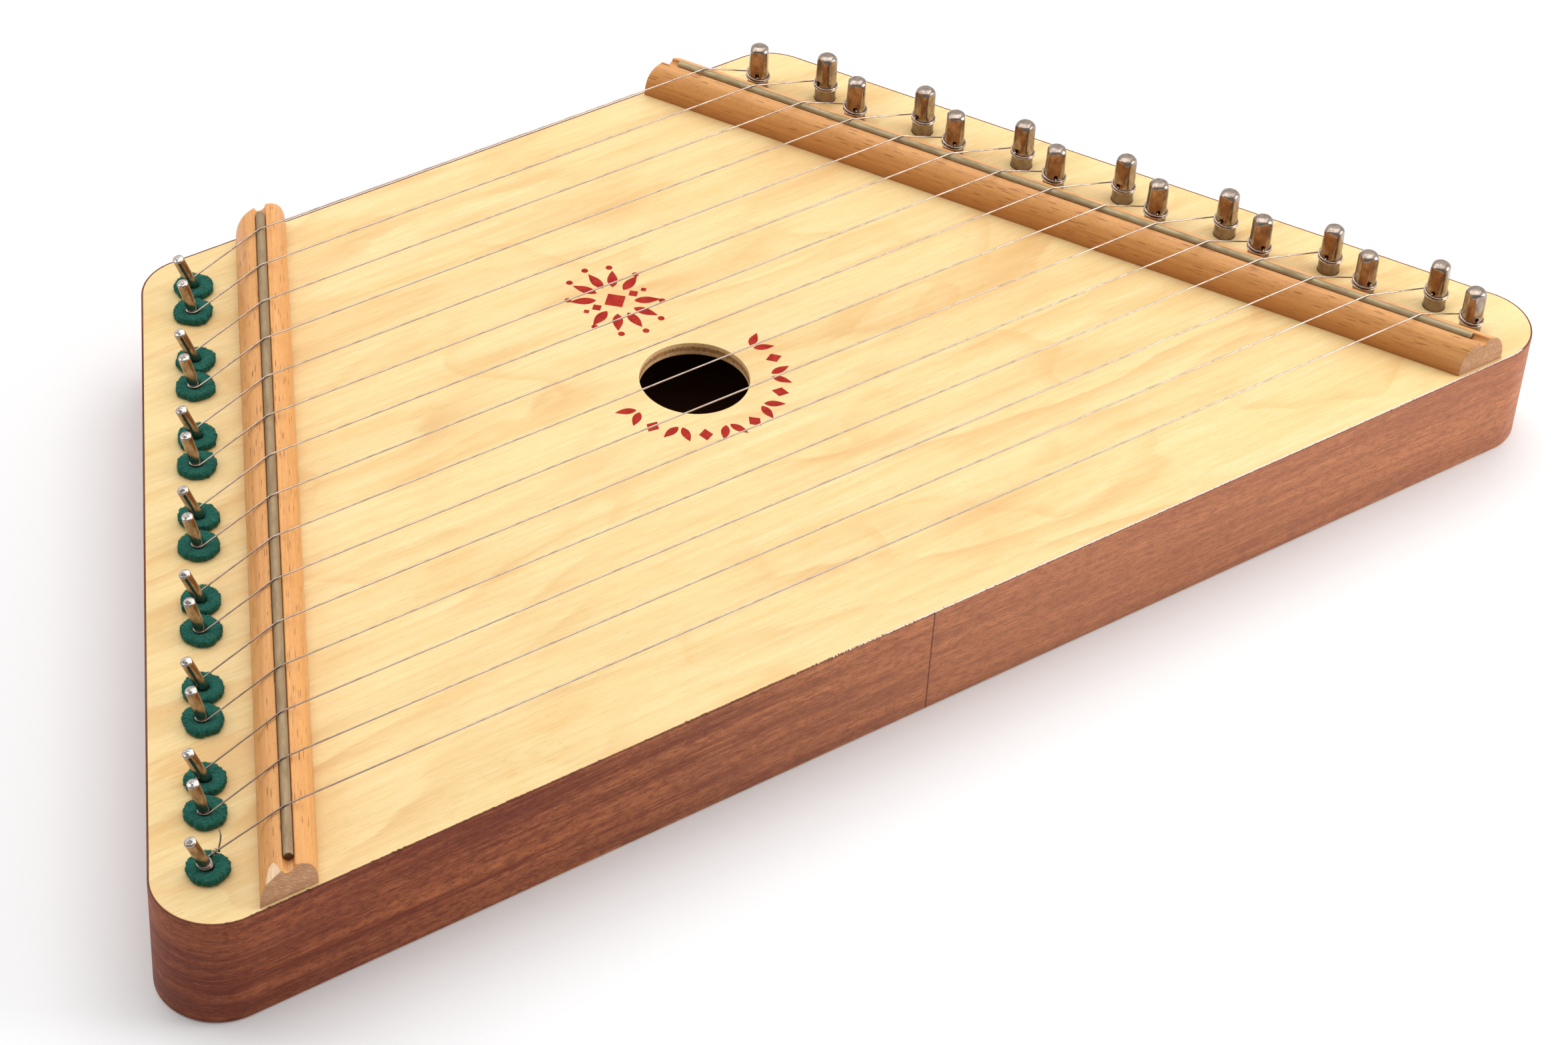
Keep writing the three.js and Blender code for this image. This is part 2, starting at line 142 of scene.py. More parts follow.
def bridge_point(side, y, outwards, lift):
    """A point on a bridge, from its centre line outwards and up from the soundboard."""
    return Vector((side * (half_width_at(y) - BRIDGE_SETBACK + outwards * SLANT), y, HEIGHT + lift))


def shares(steps):
    """The fractions from 0 to 1, in equal steps."""
    return [step / steps for step in range(steps + 1)]


def angles_round(sides):
    return [FULL_TURN * side / sides for side in range(sides)]


def polar(radius, angle, z=0.0):
    return Vector((radius * math.cos(angle), radius * math.sin(angle), z))


def limited(share):
    """The share, kept between 0 and 1."""
    return min(max(share, 0.0), 1.0)


# ---- mesh helpers ----

ROOT = "root"
SHARP = math.radians(38)
NEVER_SHARP = math.radians(180)


def loft(rings, looped=False):
    """A closed skin through rings of points. Without looped, its first and last rings are capped."""
    rings = np.asarray(rings, dtype=float)
    count, sides = rings.shape[:2]
    ring, side = np.meshgrid(np.arange(count if looped else count - 1), np.arange(sides), indexing="ij")
    near = ring * sides
    far = (ring + 1) % count * sides
    next_side = (side + 1) % sides
    quads = np.stack([near + side, near + next_side, far + next_side, far + side], axis=-1)
    faces = quads.reshape(-1, 4).tolist()
    if not looped:
        faces.append(list(range(sides))[::-1])
        faces.append([(count - 1) * sides + index for index in range(sides)])
    return rings.reshape(-1, 3), faces


def smooth(mesh, sharp=SHARP):
    mesh.polygons.foreach_set("use_smooth", [True] * len(mesh.polygons))
    mesh.set_sharp_from_angle(angle=sharp)


def rework(mesh, sharp=SHARP, change=None):
    """Makes a change to the mesh, if there is one, then turns its faces outwards and shades it."""
    shape = bmesh.new()
    shape.from_mesh(mesh)
    if change:
        change(shape)
    bmesh.ops.recalc_face_normals(shape, faces=shape.faces)
    shape.to_mesh(mesh)
    shape.free()
    smooth(mesh, sharp)


def new_mesh(name, points, faces, sharp=SHARP):
    mesh = bpy.data.meshes.new(name)
    mesh.from_pydata([tuple(point) for point in points], [], faces)
    rework(mesh, sharp)
    return mesh


def link(holder):
    bpy.context.scene.collection.objects.link(holder)
    return holder


def add_object(name, mesh, material, slot, body=ROOT, replaces=()):
    piece = link(bpy.data.objects.new(name, mesh))
    mesh.materials.clear()
    mesh.materials.append(material)
    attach(piece, body)
    if replaces:
        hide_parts(*replaces)


def add_skin(name, skin, material, slot, sharp=SHARP, **places):
    """Adds an object made of those points and faces, and returns its mesh."""
    mesh = new_mesh(name, *skin, sharp)
    add_object(name, mesh, material, slot, **places)
    return mesh


def join_parts(parts):
    """One list of points and faces from several."""
    points = []
    faces = []
    for part_points, part_faces in parts:
        offset = len(points)
        points.extend(tuple(point) for point in part_points)
        faces.extend([index + offset for index in face] for face in part_faces)
    return points, faces


def mark(mesh, **marks):
    """Stores numbers for the material: a place or a value for each point, or a value for each face."""
    for name, values in marks.items():
        values = np.asarray(values, dtype=np.float32)
        domain = "POINT" if len(values) == len(mesh.vertices) else "FACE"
        kind, field = ("FLOAT", "value") if values.ndim == 1 else ("FLOAT_VECTOR", "vector")
        mesh.attributes.new(name, kind, domain).data.foreach_set(field, values.ravel())


def baked(piece):
    """The piece's mesh with its modifiers applied."""
    bpy.context.view_layer.update()
    return bpy.data.meshes.new_from_object(piece.evaluated_get(bpy.context.evaluated_depsgraph_get()))


def circle(middle_x, middle_y, radius, steps):
    return [(middle_x + radius * math.cos(a), middle_y + radius * math.sin(a)) for a in angles_round(steps)]


def plate(name, loops, low, high, bevel):
    """A flat plate with rounded edges: the first loop is its outline and the others are holes."""
    curve = bpy.data.curves.new(name, "CURVE")
    curve.dimensions = "2D"
    curve.fill_mode = "BOTH"
    curve.extrude = (high - low) / 2 - bevel
    curve.bevel_depth = bevel
    curve.bevel_resolution = 2
    curve.offset = -bevel
    for loop in loops:
        spline = curve.splines.new("POLY")
        spline.points.add(len(loop) - 1)
        for point, (x, y) in zip(spline.points, loop):
            point.co = (x, y, 0, 1)
        spline.use_cyclic_u = True
    holder = link(bpy.data.objects.new(name, curve))
    mesh = baked(holder)
    bpy.data.objects.remove(holder)
    bpy.data.curves.remove(curve)
    mesh.transform(Matrix.Translation((0, 0, (low + high) / 2)))
    rework(mesh, change=lambda shape: bmesh.ops.remove_doubles(shape, verts=shape.verts, dist=0.002 * MM))
    return mesh


def ring_round(middle, across, up, radius, sides):
    return [tuple(middle + radius * (math.cos(a) * across + math.sin(a) * up)) for a in angles_round(sides)]


def tube(path, radius, sides=12):
    """A round tube with rounded ends along a path, carried round bends without twisting."""
    padded = [path[0], *path, path[-1]]
    tangents = [(after - before).normalized() for before, after in zip(padded, padded[2:])]
    across = tangents[0].orthogonal().normalized()
    axes = []
    last = tangents[0]
    for tangent in tangents:
        across = last.rotation_difference(tangent) @ across
        across = (across - across.dot(tangent) * tangent).normalized()
        axes.append((across, tangent.cross(across)))
        last = tangent
    rings = [ring_round(point, *pair, radius, sides) for point, pair in zip(path, axes)]
    nose = radius * 0.5
    start = ring_round(path[0] - tangents[0] * nose, *axes[0], radius * 0.55, sides)
    end = ring_round(path[-1] + tangents[-1] * nose, *axes[-1], radius * 0.55, sides)
    return loft([start, *rings, end])


# ---- the body's outline ----


def outline(straight_step, arc_step):
    """Points, outward normals and distances along the body's outline, anticlockwise from the seam.

    The seam is in the middle of the long side. A point moved inwards is point - inset * normal."""
    side_normal = math.atan(SLOPE)
    corner_y = DEPTH / 2 - CORNER_RADIUS
    front_x = half_width_at(-corner_y) - CORNER_RADIUS * SLANT
    back_x = half_width_at(corner_y) - CORNER_RADIUS * SLANT
    corners = [
        ((front_x, -corner_y), -math.pi / 2, side_normal),
        ((back_x, corner_y), side_normal, math.pi / 2),
        ((-back_x, corner_y), math.pi / 2, math.pi - side_normal),
        ((-front_x, -corner_y), math.pi - side_normal, 1.5 * math.pi),
    ]
    seam = np.array((0.0, -DEPTH / 2))
    forwards = np.array((0.0, -1.0))
    points = [seam]
    normals = [forwards]

    def run_straight(end, normal):
        start = points[-1]
        steps = max(1, math.ceil(np.linalg.norm(end - start) / straight_step))
        points.extend(start + (end - start) * step / steps for step in range(1, steps + 1))
        normals.extend([normal] * steps)

    for middle, from_angle, to_angle in corners:
        steps = math.ceil(CORNER_RADIUS * (to_angle - from_angle) / arc_step)
        angles = [from_angle + (to_angle - from_angle) * share for share in shares(steps)]
        ways = [np.array((math.cos(angle), math.sin(angle))) for angle in angles]
        arc = [middle + CORNER_RADIUS * way for way in ways]
        run_straight(arc[0], ways[0])
        points.extend(arc[1:])
        normals.extend(ways[1:])
    run_straight(seam, forwards)
    points = np.array(points)
    lengths = np.concatenate([[0], np.cumsum(np.linalg.norm(np.diff(points, axis=0), axis=1))])
    return points, np.array(normals), lengths


def outline_loop(inset):
    points, normals, _ = outline(straight_step=1, arc_step=0.6 * MM)
    return [tuple(point) for point in (points - inset * normals)[:-1]]


# ---- materials ----

EVEN = 1000  # millimetres: a feature so long that the pattern doesn't change along that axis


class Nodes:
    """A node tree, with short ways to add nodes and to fill their inputs, in order or by name."""

    def __init__(self, tree):
        self.tree = tree

    def plug(self, value, socket):
        if isinstance(value, bpy.types.NodeSocket):
            self.tree.links.new(value, socket)
        else:
            socket.default_value = value

    def add(self, kind, *values, settings=None, output=0, **named):
        node = self.tree.nodes.new(f"ShaderNode{kind}")
        for name, value in (settings or {}).items():
            setattr(node, name, value)
        for value, socket in zip(values, node.inputs):
            self.plug(value, socket)
        for name, value in named.items():
            self.plug(value, node.inputs[name.replace("_", " ")])
        return node.outputs[output]

    def math(self, operation, *values):
        return self.add("Math", *values, settings={"operation": operation})

    def times(self, first, second):
        return self.math("MULTIPLY", first, second)

    def plus(self, base, value, amount):
        """The base with that amount of the value added to it."""
        return self.math("MULTIPLY_ADD", value, amount, base)

    def between(self, value, low, high, to_low=0.0, to_high=1.0):
        """A smooth step from to_low, where value is low, to to_high, where it is high."""
        settings = {"interpolation_type": "SMOOTHSTEP"}
        return self.add("MapRange", value, low, high, to_low, to_high, settings=settings)


class Finish(Nodes):
    """A material, with what wood, metal, felt and ink need. Sizes of features are in millimetres."""

    def __init__(self, name, along_grain=False):
        self.material = bpy.data.materials.new(name)
        self.material.use_nodes = True
        super().__init__(self.material.node_tree)
        self.surface = self.tree.nodes["Principled BSDF"]
        self.object_place = self.add("TexCoord", output="Object")
        self.place = self.attribute("grain", "Vector") if along_grain else self.object_place
        self.colour = None

    def attribute(self, name, output="Fac"):
        return self.add("Attribute", settings={"attribute_name": name}, output=output)

    def axis(self, name, place=None):
        return self.add("SeparateXYZ", place or self.place, output=name)

    def object_axis(self, name):
        return self.axis(name, self.object_place)

    def pattern(self, kind, sizes, place=None, output=0, **inputs):
        scales = [1 / (size * MM) for size in sizes]
        scaled = self.add("VectorMath", place or self.place, scales, settings={"operation": "MULTIPLY"})
        return self.add(kind, output=output, Vector=scaled, Scale=1.0, **inputs)

    def noise(self, x, y, z=EVEN, detail=2.0, roughness=0.5, distortion=0.0, place=None):
        inputs = {"Detail": detail, "Roughness": roughness, "Distortion": distortion}
        return self.pattern("TexNoise", (x, y, z), place, **inputs)

    def cells(self, x, y, z, output="Distance"):
        return self.pattern("TexVoronoi", (x, y, z), output=output)

    def mix(self, amount, first, second, blend="MIX"):
        node = self.tree.nodes.new("ShaderNodeMix")
        node.data_type = "RGBA"
        node.blend_type = blend
        self.plug(amount, node.inputs[0])
        for value, socket in ((first, node.inputs[6]), (second, node.inputs[7])):
            self.plug(value if isinstance(value, bpy.types.NodeSocket) else (*value, 1.0), socket)
        return node.outputs[2]

    def base(self, value, low, high, first, second):
        """Starts from one colour, where the value is low, to another, where it is high."""
        self.colour = self.mix(self.between(value, low, high), first, second)

    def cover(self, amount, colour, blend="MIX"):
        """Covers the colour so far with another one, by that amount."""
        self.colour = self.mix(amount, self.colour, colour, blend)

    def spread(self, value, amount, colour):
        self.cover(self.times(value, amount), colour)

    def tint(self, value, low, high, amount, colour):
        """Covers the colour so far by that amount where the value reaches high, and not at low."""
        self.cover(self.between(value, low, high, 0, amount), colour)

    def bump(self, height, distance, **under):
        return self.add("Bump", Distance=distance * MM, Height=height, **under)

    def finish(self, roughness, bump=None, **constants):
        self.plug(self.colour, self.surface.inputs["Base Color"])
        self.plug(roughness, self.surface.inputs["Roughness"])
        if bump is not None:
            self.plug(bump, self.surface.inputs["Normal"])
        for name, value in constants.items():
            self.surface.inputs[name.replace("_", " ")].default_value = value
        return self.material


def birch_material(name, low, high, dark_inside=False):
    """Rotary-cut birch plywood with its grain along X, and three plies showing in its cut edges."""
    wood = Finish(name)
    z = wood.axis("Z")

    # The figure: long growth lines that darken slowly on one side and end softly on the other.
    rise = wood.times(wood.axis("Y"), 1 / (22 * MM))
    rise = wood.plus(rise, wood.noise(170, 46, detail=1.5, roughness=0.45), 7.0)
    rise = wood.plus(rise, wood.noise(34, 6, detail=3), 0.45)
    rise = wood.plus(rise, wood.noise(9, 0.8), 0.22)
    saw = wood.math("FRACT", rise)
    late_wood = wood.times(wood.math("POWER", saw, 2.2), wood.between(saw, 1.0, 0.86))
    figure = wood.times(late_wood, wood.between(wood.noise(70, 24), 0.38, 0.66))

    # Curls: single soft lines that wander across the grain, here and there.
    swirl = wood.math("FRACT", wood.times(wood.noise(85, 44, detail=2.5, roughness=0.4), 5.5))
    line = wood.times(wood.between(swirl, 0.70, 0.95), wood.between(swirl, 1.0, 0.95))
    curl = wood.times(line, wood.between(wood.noise(60, 40, detail=1), 0.42, 0.60))

    cloud = wood.noise(80, 11, detail=4, roughness=0.6)
    glow = wood.noise(36, 13, detail=3, roughness=0.6)
    fibre = wood.noise(5.5, 0.24, 4, detail=4, roughness=0.66)
    hair = wood.noise(2.2, 0.15, 2, detail=3, roughness=0.65)
    streak = wood.noise(38, 1.5, 6, detail=4, roughness=0.62)
    band = wood.noise(80, 4.6, detail=3, roughness=0.55)
    fleck = wood.between(wood.noise(3.0, 0.34, 3, detail=1), 0.66, 0.76)
    flecks = wood.times(fleck, wood.between(wood.noise(30, 16, detail=0), 0.45, 0.65))

    wood.colour = wood.mix(cloud, (0.91, 0.735, 0.395), (0.83, 0.60, 0.26))
    wood.tint(glow, 0.50, 0.74, 0.34, (0.76, 0.44, 0.15))
    wood.tint(band, 0.50, 0.72, 0.26, (0.77, 0.45, 0.15))
    wood.tint(band, 0.48, 0.30, 0.28, (0.93, 0.78, 0.46))
    wood.tint(streak, 0.38, 0.70, 0.26, (0.70, 0.44, 0.165))
    wood.tint(fibre, 0.42, 0.72, 0.27, (0.68, 0.40, 0.135))
    wood.tint(hair, 0.50, 0.72, 0.22, (0.58, 0.34, 0.13))
    wood.tint(fibre, 0.44, 0.25, 0.40, (0.96, 0.80, 0.50))
    wood.spread(figure, 0.70, (0.68, 0.36, 0.12))
    wood.spread(curl, 0.30, (0.72, 0.40, 0.14))
    wood.spread(flecks, 0.28, (0.52, 0.27, 0.10))

    # The cut edges: pale outer plies round a ragged brown one.
    depth = wood.math("DIVIDE", wood.math("SUBTRACT", z, low), high - low)
    ragged = wood.noise(0.9, 0.9, 0.6, detail=4, roughness=0.7)
    depth = wood.plus(wood.math("SUBTRACT", depth, 0.17), ragged, 0.34)
    core = wood.times(wood.between(depth, 0.28, 0.38), wood.between(depth, 0.72, 0.62))
    end_fibre = wood.between(wood.noise(0.35, 0.35, 1.1, detail=3), 0.32, 0.68)
    pale_ply = wood.mix(end_fibre, (1.0, 0.72, 0.38), (0.92, 0.52, 0.22))
    brown_ply = wood.mix(end_fibre, (0.70, 0.37, 0.16), (0.40, 0.18, 0.07))
    normal_z = wood.axis("Z", wood.add("NewGeometry", output="True Normal"))
    on_edge = wood.between(wood.math("ABSOLUTE", normal_z), 0.6, 0.3)
    wood.cover(on_edge, wood.mix(core, pale_ply, brown_ply))
    if dark_inside:
        above_middle = wood.math("SUBTRACT", z, (low + high) / 2)
        wood.cover(wood.between(above_middle, 0, 0.5 * MM), (0.17, 0.075, 0.032))

    bump = wood.bump(wood.plus(fibre, streak, 0.5), 0.02)
    return wood.finish(wood.between(fibre, 0.2, 0.8, 0.42, 0.55), bump, Specular_IOR_Level=0.32)


def sapele_material():
    """Open-pored reddish-brown veneer, run round the sides, with a pale arris along its top and painted
    light that brightens it towards the right.
    """
    wood = Finish("sapele_veneer", along_grain=True)
    x = wood.object_axis("X")
    in_front = wood.between(wood.object_axis("Y"), 0, -5 * MM)
    ribbon = wood.noise(120, 4.4, detail=5, roughness=0.62)
    zone = wood.noise(200, 10)
    patch = wood.noise(30, 5, detail=3, roughness=0.6)
    thread = wood.noise(16, 0.32, detail=4, roughness=0.68)
    pore = wood.between(wood.noise(1.5, 0.20), 0.55, 0.67)
    mottle = wood.noise(3.5, 1.6, detail=5, roughness=0.66)
    speck = wood.between(wood.noise(0.45, 0.22, detail=1), 0.71, 0.78)

    wood.base(ribbon, 0.38, 0.62, (0.22, 0.058, 0.026), (0.53, 0.195, 0.078))
    wood.tint(zone, 0.35, 0.7, 0.45, (0.30, 0.085, 0.042))
    wood.tint(patch, 0.50, 0.66, 0.45, (0.22, 0.060, 0.040))
    # Painted light: the band is painted lighter towards the right, where the light falls on it.
    wood.tint(x, -90 * MM, 30 * MM, 0.36, (0.43, 0.138, 0.060))
    wood.tint(mottle, 0.43, 0.62, 0.62, (0.175, 0.040, 0.021))
    # Painted light: the pale threads are painted stronger towards the right.
    lit = wood.between(x, -190 * MM, -70 * MM, 0.36, 0.70)
    wood.cover(wood.times(wood.between(thread, 0.52, 0.68), lit), (0.78, 0.33, 0.14))
    wood.spread(pore, 0.62, (0.11, 0.027, 0.016))
    wood.spread(speck, 0.60, (0.80, 0.52, 0.38))

    # The leaf of veneer left of the seam is darker. Painted shade also darkens the band towards the left,
    # and painted light makes its right end the lightest.
    leaf_change = wood.times(wood.between(x, 0.2 * MM, -0.2 * MM, 0, 0.10), in_front)
    # Painted shade: darker towards the left.
    painted_shade_leftwards = wood.between(x, -20 * MM, -170 * MM, 0, 0.40)
    wood.cover(wood.math("ADD", leaf_change, painted_shade_leftwards), (0.64, 0.33, 0.24), blend="MULTIPLY")
    # Painted light: lighter towards the right end.
    wood.tint(x, -120 * MM, 50 * MM, 0.24, (0.86, 0.40, 0.22))
    seam = wood.between(wood.math("ABSOLUTE", x), 0.36 * MM, 0.12 * MM, 0, 0.62)
    wood.cover(wood.times(seam, in_front), (0.07, 0.020, 0.014))

    # Its top edge is darker, and pale, almost white, along ragged stretches.
    wood.tint(wood.axis("Y"), 33.62 * MM, 33.9 * MM, 0.75, (0.13, 0.040, 0.030))
    tear = wood.noise(0.9, 0.4, detail=3, roughness=0.7)
    torn = wood.math("ADD", wood.attribute("arris"), wood.math("MULTIPLY_ADD", tear, 1.6, -0.8))
    wood.cover(wood.between(torn, 0.42, 0.56), wood.mix(tear, (0.98, 0.90, 0.84), (0.80, 0.58, 0.46)))

    bump = wood.bump(wood.math("SUBTRACT", thread, pore), 0.035)
    return wood.finish(wood.between(thread, 0.3, 0.8, 0.50, 0.62), bump, Specular_IOR_Level=0.17)


def beech_material():
    """Beech along the bridges, with short dark rays on its sides and speckled end grain."""
    wood = Finish("beech", along_grain=True)
    end = wood.attribute("end")
    cloud = wood.noise(50, 4, 4, detail=3)
    fibre = wood.noise(11, 0.26, 0.26, detail=3, roughness=0.65)
    growth = wood.noise(90, 1.4, 1.4)
    ray_size = (7.4, 0.54, 0.54)
    ray = wood.plus(wood.cells(*ray_size), wood.noise(2.6, 0.5, 0.5), 0.22)
    ray_depth = wood.axis("X", wood.cells(*ray_size, output="Color"))
    ray = wood.times(wood.between(ray, 0.40, 0.27), wood.between(ray_depth, 0.0, 0.62))
    small_ray = wood.between(wood.cells(2.4, 0.36, 0.36), 0.30, 0.15)

    wood.colour = wood.mix(cloud, (0.80, 0.405, 0.135), (0.64, 0.275, 0.078))
    wood.tint(growth, 0.42, 0.72, 0.45, (0.50, 0.19, 0.055))
    wood.tint(fibre, 0.45, 0.75, 0.35, (0.90, 0.52, 0.21))
    wood.spread(small_ray, 0.34, (0.38, 0.14, 0.045))
    wood.spread(ray, 0.80, (0.25, 0.082, 0.026))
    z = wood.object_axis("Z")
    # Painted shade: the sides darken towards the foot, where they meet the soundboard.
    wood.tint(z, HEIGHT + 3.5 * MM, HEIGHT, 0.45, (0.34, 0.125, 0.035))
    # Painted shade: the right bridge is painted darker and redder low on its sides, where it lies in shade.
    painted_shade_low = wood.between(z, HEIGHT + 7.5 * MM, HEIGHT + 1.5 * MM, 0, 0.46)
    on_right = wood.between(wood.object_axis("X"), -10 * MM, 10 * MM)
    wood.cover(wood.times(painted_shade_low, on_right), (0.42, 0.135, 0.028))

    # The end grain: dark specks, pale rays, growth rings and the diagonal marks of a saw.
    speckle = wood.noise(0.3, 0.20, 0.20, detail=4, roughness=0.7)
    pith_ray = wood.between(wood.cells(EVEN, 0.34, 0.34), 0.34, 0.12, 0, 0.6)
    ring = wood.between(wood.noise(EVEN, 6, 1.3, detail=1), 0.45, 0.65, 0, 0.35)
    u = wood.axis("Y")
    v = wood.axis("Z")
    across = wood.math("SUBTRACT", wood.times(v, 0.8), wood.times(u, 0.6))
    along = wood.math("ADD", wood.times(v, 0.6), wood.times(u, 0.8))
    sawn_place = wood.add("CombineXYZ", across, along)
    tooth = wood.noise(0.20, 2.6, detail=3, roughness=0.6, place=sawn_place)
    tooth = wood.between(tooth, 0.52, 0.66, 0, 0.62)
    end_colour = wood.mix(wood.between(speckle, 0.3, 0.7), (0.41, 0.180, 0.080), (0.68, 0.375, 0.19))
    end_colour = wood.mix(pith_ray, end_colour, (0.80, 0.50, 0.29))
    end_colour = wood.mix(ring, end_colour, (0.42, 0.19, 0.09))
    end_colour = wood.mix(tooth, end_colour, (0.90, 0.60, 0.38))
    wood.cover(end, end_colour)
    split_colour = wood.mix(wood.between(fibre, 0.3, 0.7), (0.74, 0.46, 0.25), (0.90, 0.66, 0.42))
    wood.cover(wood.attribute("split"), split_colour)

    height = wood.plus(wood.math("SUBTRACT", fibre, ray), wood.times(speckle, end), 6.0)
    roughness = wood.between(end, 0, 1, 0.42, 0.85)
    return wood.finish(roughness, wood.bump(height, 0.03), Specular_IOR_Level=0.38)


def inner_wood_material(name, pale, dark, ring):
    """Sawn, unfinished wood for the pieces inside the box."""
    wood = Finish(name)
    growth = wood.noise(200, ring, ring)
    fibre = wood.noise(18, 0.5, 0.5, detail=3)
    sawn = wood.noise(1.1, 30, 30, detail=1)
    wood.base(growth, 0.35, 0.65, pale, dark)
    wood.tint(fibre, 0.4, 0.8, 0.4, dark)
    bump = wood.bump(wood.math("ADD", fibre, sawn), 0.05)
    return wood.finish(wood.between(fibre, 0, 1, 0.6, 0.8), bump)


def brass_material():
    """Drawn brass with fine lengthwise marks and a dull, slightly tarnished skin."""
    metal = Finish("drawn_brass", along_grain=True)
    drawn = metal.noise(30, 0.12, 0.12)
    tarnish = metal.noise(7, 2, 2, detail=4, roughness=0.65)
    spot = metal.between(metal.noise(0.9, 0.5, 0.5), 0.66, 0.78)
    metal.base(tarnish, 0.35, 0.7, (0.46, 0.365, 0.22), (0.36, 0.27, 0.155))
    metal.spread(spot, 0.6, (0.22, 0.14, 0.07))
    # Painted reflection: the rod on the left is painted darker than the one on the right.
    metal.tint(metal.object_axis("X"), 60 * MM, -60 * MM, 0.45, (0.31, 0.20, 0.12))
    metal.cover(metal.attribute("end"), (0.17, 0.09, 0.05))
    roughness = metal.between(tarnish, 0.3, 0.75, 0.60, 0.74)
    return metal.finish(roughness, metal.bump(drawn, 0.012), Metallic=1.0)


def nickel_material(name, rub_length, shaded_below, bright_above, top_highlight):
    """Nickel plate, rubbed along the pin, with painted shade at its foot and a painted highlight at its top.
    """
    metal = Finish(name)
    rub = metal.noise(0.16, 0.16, rub_length)
    haze = metal.noise(1.6, 1.6, 2.6, detail=4, roughness=0.6)
    stain = metal.between(metal.noise(0.8, 0.8, 1.4, detail=3), 0.60, 0.75)
    z = metal.axis("Z")
    foot = HEIGHT + shaded_below
    top = HEIGHT + bright_above
    metal.base(haze, 0.35, 0.7, (0.43, 0.35, 0.29), (0.25, 0.185, 0.145))
    metal.spread(stain, 0.5, (0.22, 0.16, 0.12))
    # Painted shade: darker round the foot of the pin.
    metal.tint(z, foot + 1 * MM, foot - 1 * MM, 0.55, (0.16, 0.115, 0.085))
    # Painted highlight: lighter at the top of the pin.
    metal.tint(z, top - 0.4 * MM, top + 0.6 * MM, top_highlight, (0.64, 0.60, 0.57))
    bump = metal.bump(haze, 0.06, Normal=metal.bump(rub, 0.012))
    return metal.finish(metal.between(haze, 0.3, 0.75, 0.12, 0.28), bump, Metallic=1.0)


def steel_material():
    """Plain steel music wire, with drawing marks and a few dull spots, and a painted dark reflection by the
    hitch pins.
    """
    metal = Finish("music_wire")
    dull = metal.noise(3, 0.6, 0.6, detail=3)
    drawn = metal.noise(12, 0.05, 0.05, detail=1)
    metal.base(dull, 0.4, 0.7, (0.62, 0.52, 0.46), (0.42, 0.34, 0.29))
    # Painted reflection: the wire is painted darker towards the hitch pins.
    painted_dark_reflection = metal.between(metal.axis("X"), -120 * MM, -172 * MM, 0.08, 0.62)
    metal.cover(painted_dark_reflection, (0.17, 0.12, 0.095))
    roughness = metal.between(dull, 0.3, 0.7, 0.15, 0.28)
    return metal.finish(roughness, metal.bump(drawn, 0.006), Metallic=1.0)


def felt_material():
    """Pressed wool: tangled fibres in several greens, with a soft sheen."""
    wool = Finish("wool_felt")
    tangle = wool.noise(0.35, 0.35, 0.35, detail=5, roughness=0.7, distortion=1.5)
    tuft = wool.noise(0.9, 0.9, 0.8, detail=4, roughness=0.65)
    lint = wool.between(wool.noise(0.22, 0.22, 0.22), 0.70, 0.78)
    wool.base(tangle, 0.40, 0.62, (0.004, 0.048, 0.036), (0.022, 0.185, 0.135))
    wool.tint(tuft, 0.4, 0.75, 0.35, (0.032, 0.240, 0.175))
    wool.spread(lint, 0.4, (0.11, 0.33, 0.25))
    return wool.finish(
        wool.between(tangle, 0, 1, 0.9, 1.0),
        wool.bump(wool.math("ADD", tangle, tuft), 0.30),
        Sheen_Weight=0.35,
        Sheen_Roughness=0.5,
        Sheen_Tint=(0.35, 0.80, 0.65, 1.0),
        Specular_IOR_Level=0.1,
    )


def ink_material():
    """Stamped red ink, thinner where the stamp pressed less and broken by the wood's grain."""
    ink = Finish("stamp_ink")
    press = ink.noise(2.6, 2.6, detail=3)
    grain = ink.noise(2.4, 0.30, detail=3, roughness=0.65)
    speck = ink.noise(0.35, 0.35)
    ink.base(press, 0.3, 0.7, (0.33, 0.012, 0.008), (0.44, 0.026, 0.014))
    ink.tint(grain, 0.55, 0.78, 0.35, (0.58, 0.13, 0.06))
    ink.tint(speck, 0.62, 0.74, 0.45, (0.68, 0.26, 0.12))
    roughness = ink.between(grain, 0, 1, 0.55, 0.7)
    return ink.finish(roughness, ink.bump(grain, 0.01), Specular_IOR_Level=0.12)


def floor_material():
    """A pale sheet of paper with a very faint tooth."""
    paper = Finish("paper_floor")
    tooth = paper.noise(1.5, 1.5, detail=3)
    paper.colour = paper.mix(tooth, (0.895, 0.90, 0.91), (0.91, 0.915, 0.925))
    return paper.finish(paper.between(tooth, 0, 1, 0.85, 0.95), Specular_IOR_Level=0.15)


# ---- soundbox ----


def soundboard():
    loops = [outline_loop(VENEER), circle(0, HOLE_Y, HOLE_RADIUS, 160)]
    for course, axis in TUNING_AXES.items():
        loops.append(circle(axis.x, axis.y, SHANK_RADIUS + 0.08 * MM, 40))
        nail = hitch_point(course, 0)
        loops.append(circle(nail.x, nail.y, HITCH_RADIUS + 0.12 * MM, 24))
    mesh = plate("soundboard", loops, HEIGHT - BOARD, HEIGHT, bevel=0.12 * MM)
    material = birch_material("birch_ply_top", HEIGHT - BOARD, HEIGHT)
    add_object("soundboard_plate", mesh, material, "birch_ply", replaces=["soundboard"])


def back_plate():
    mesh = plate("back_plate", [outline_loop(VENEER)], 0, BOARD, bevel=0.35 * MM)
    material = birch_material("birch_ply_back", 0, BOARD, dark_inside=True)
    add_object("back_plate_panel", mesh, material, "birch_ply", replaces=["back_plate"])


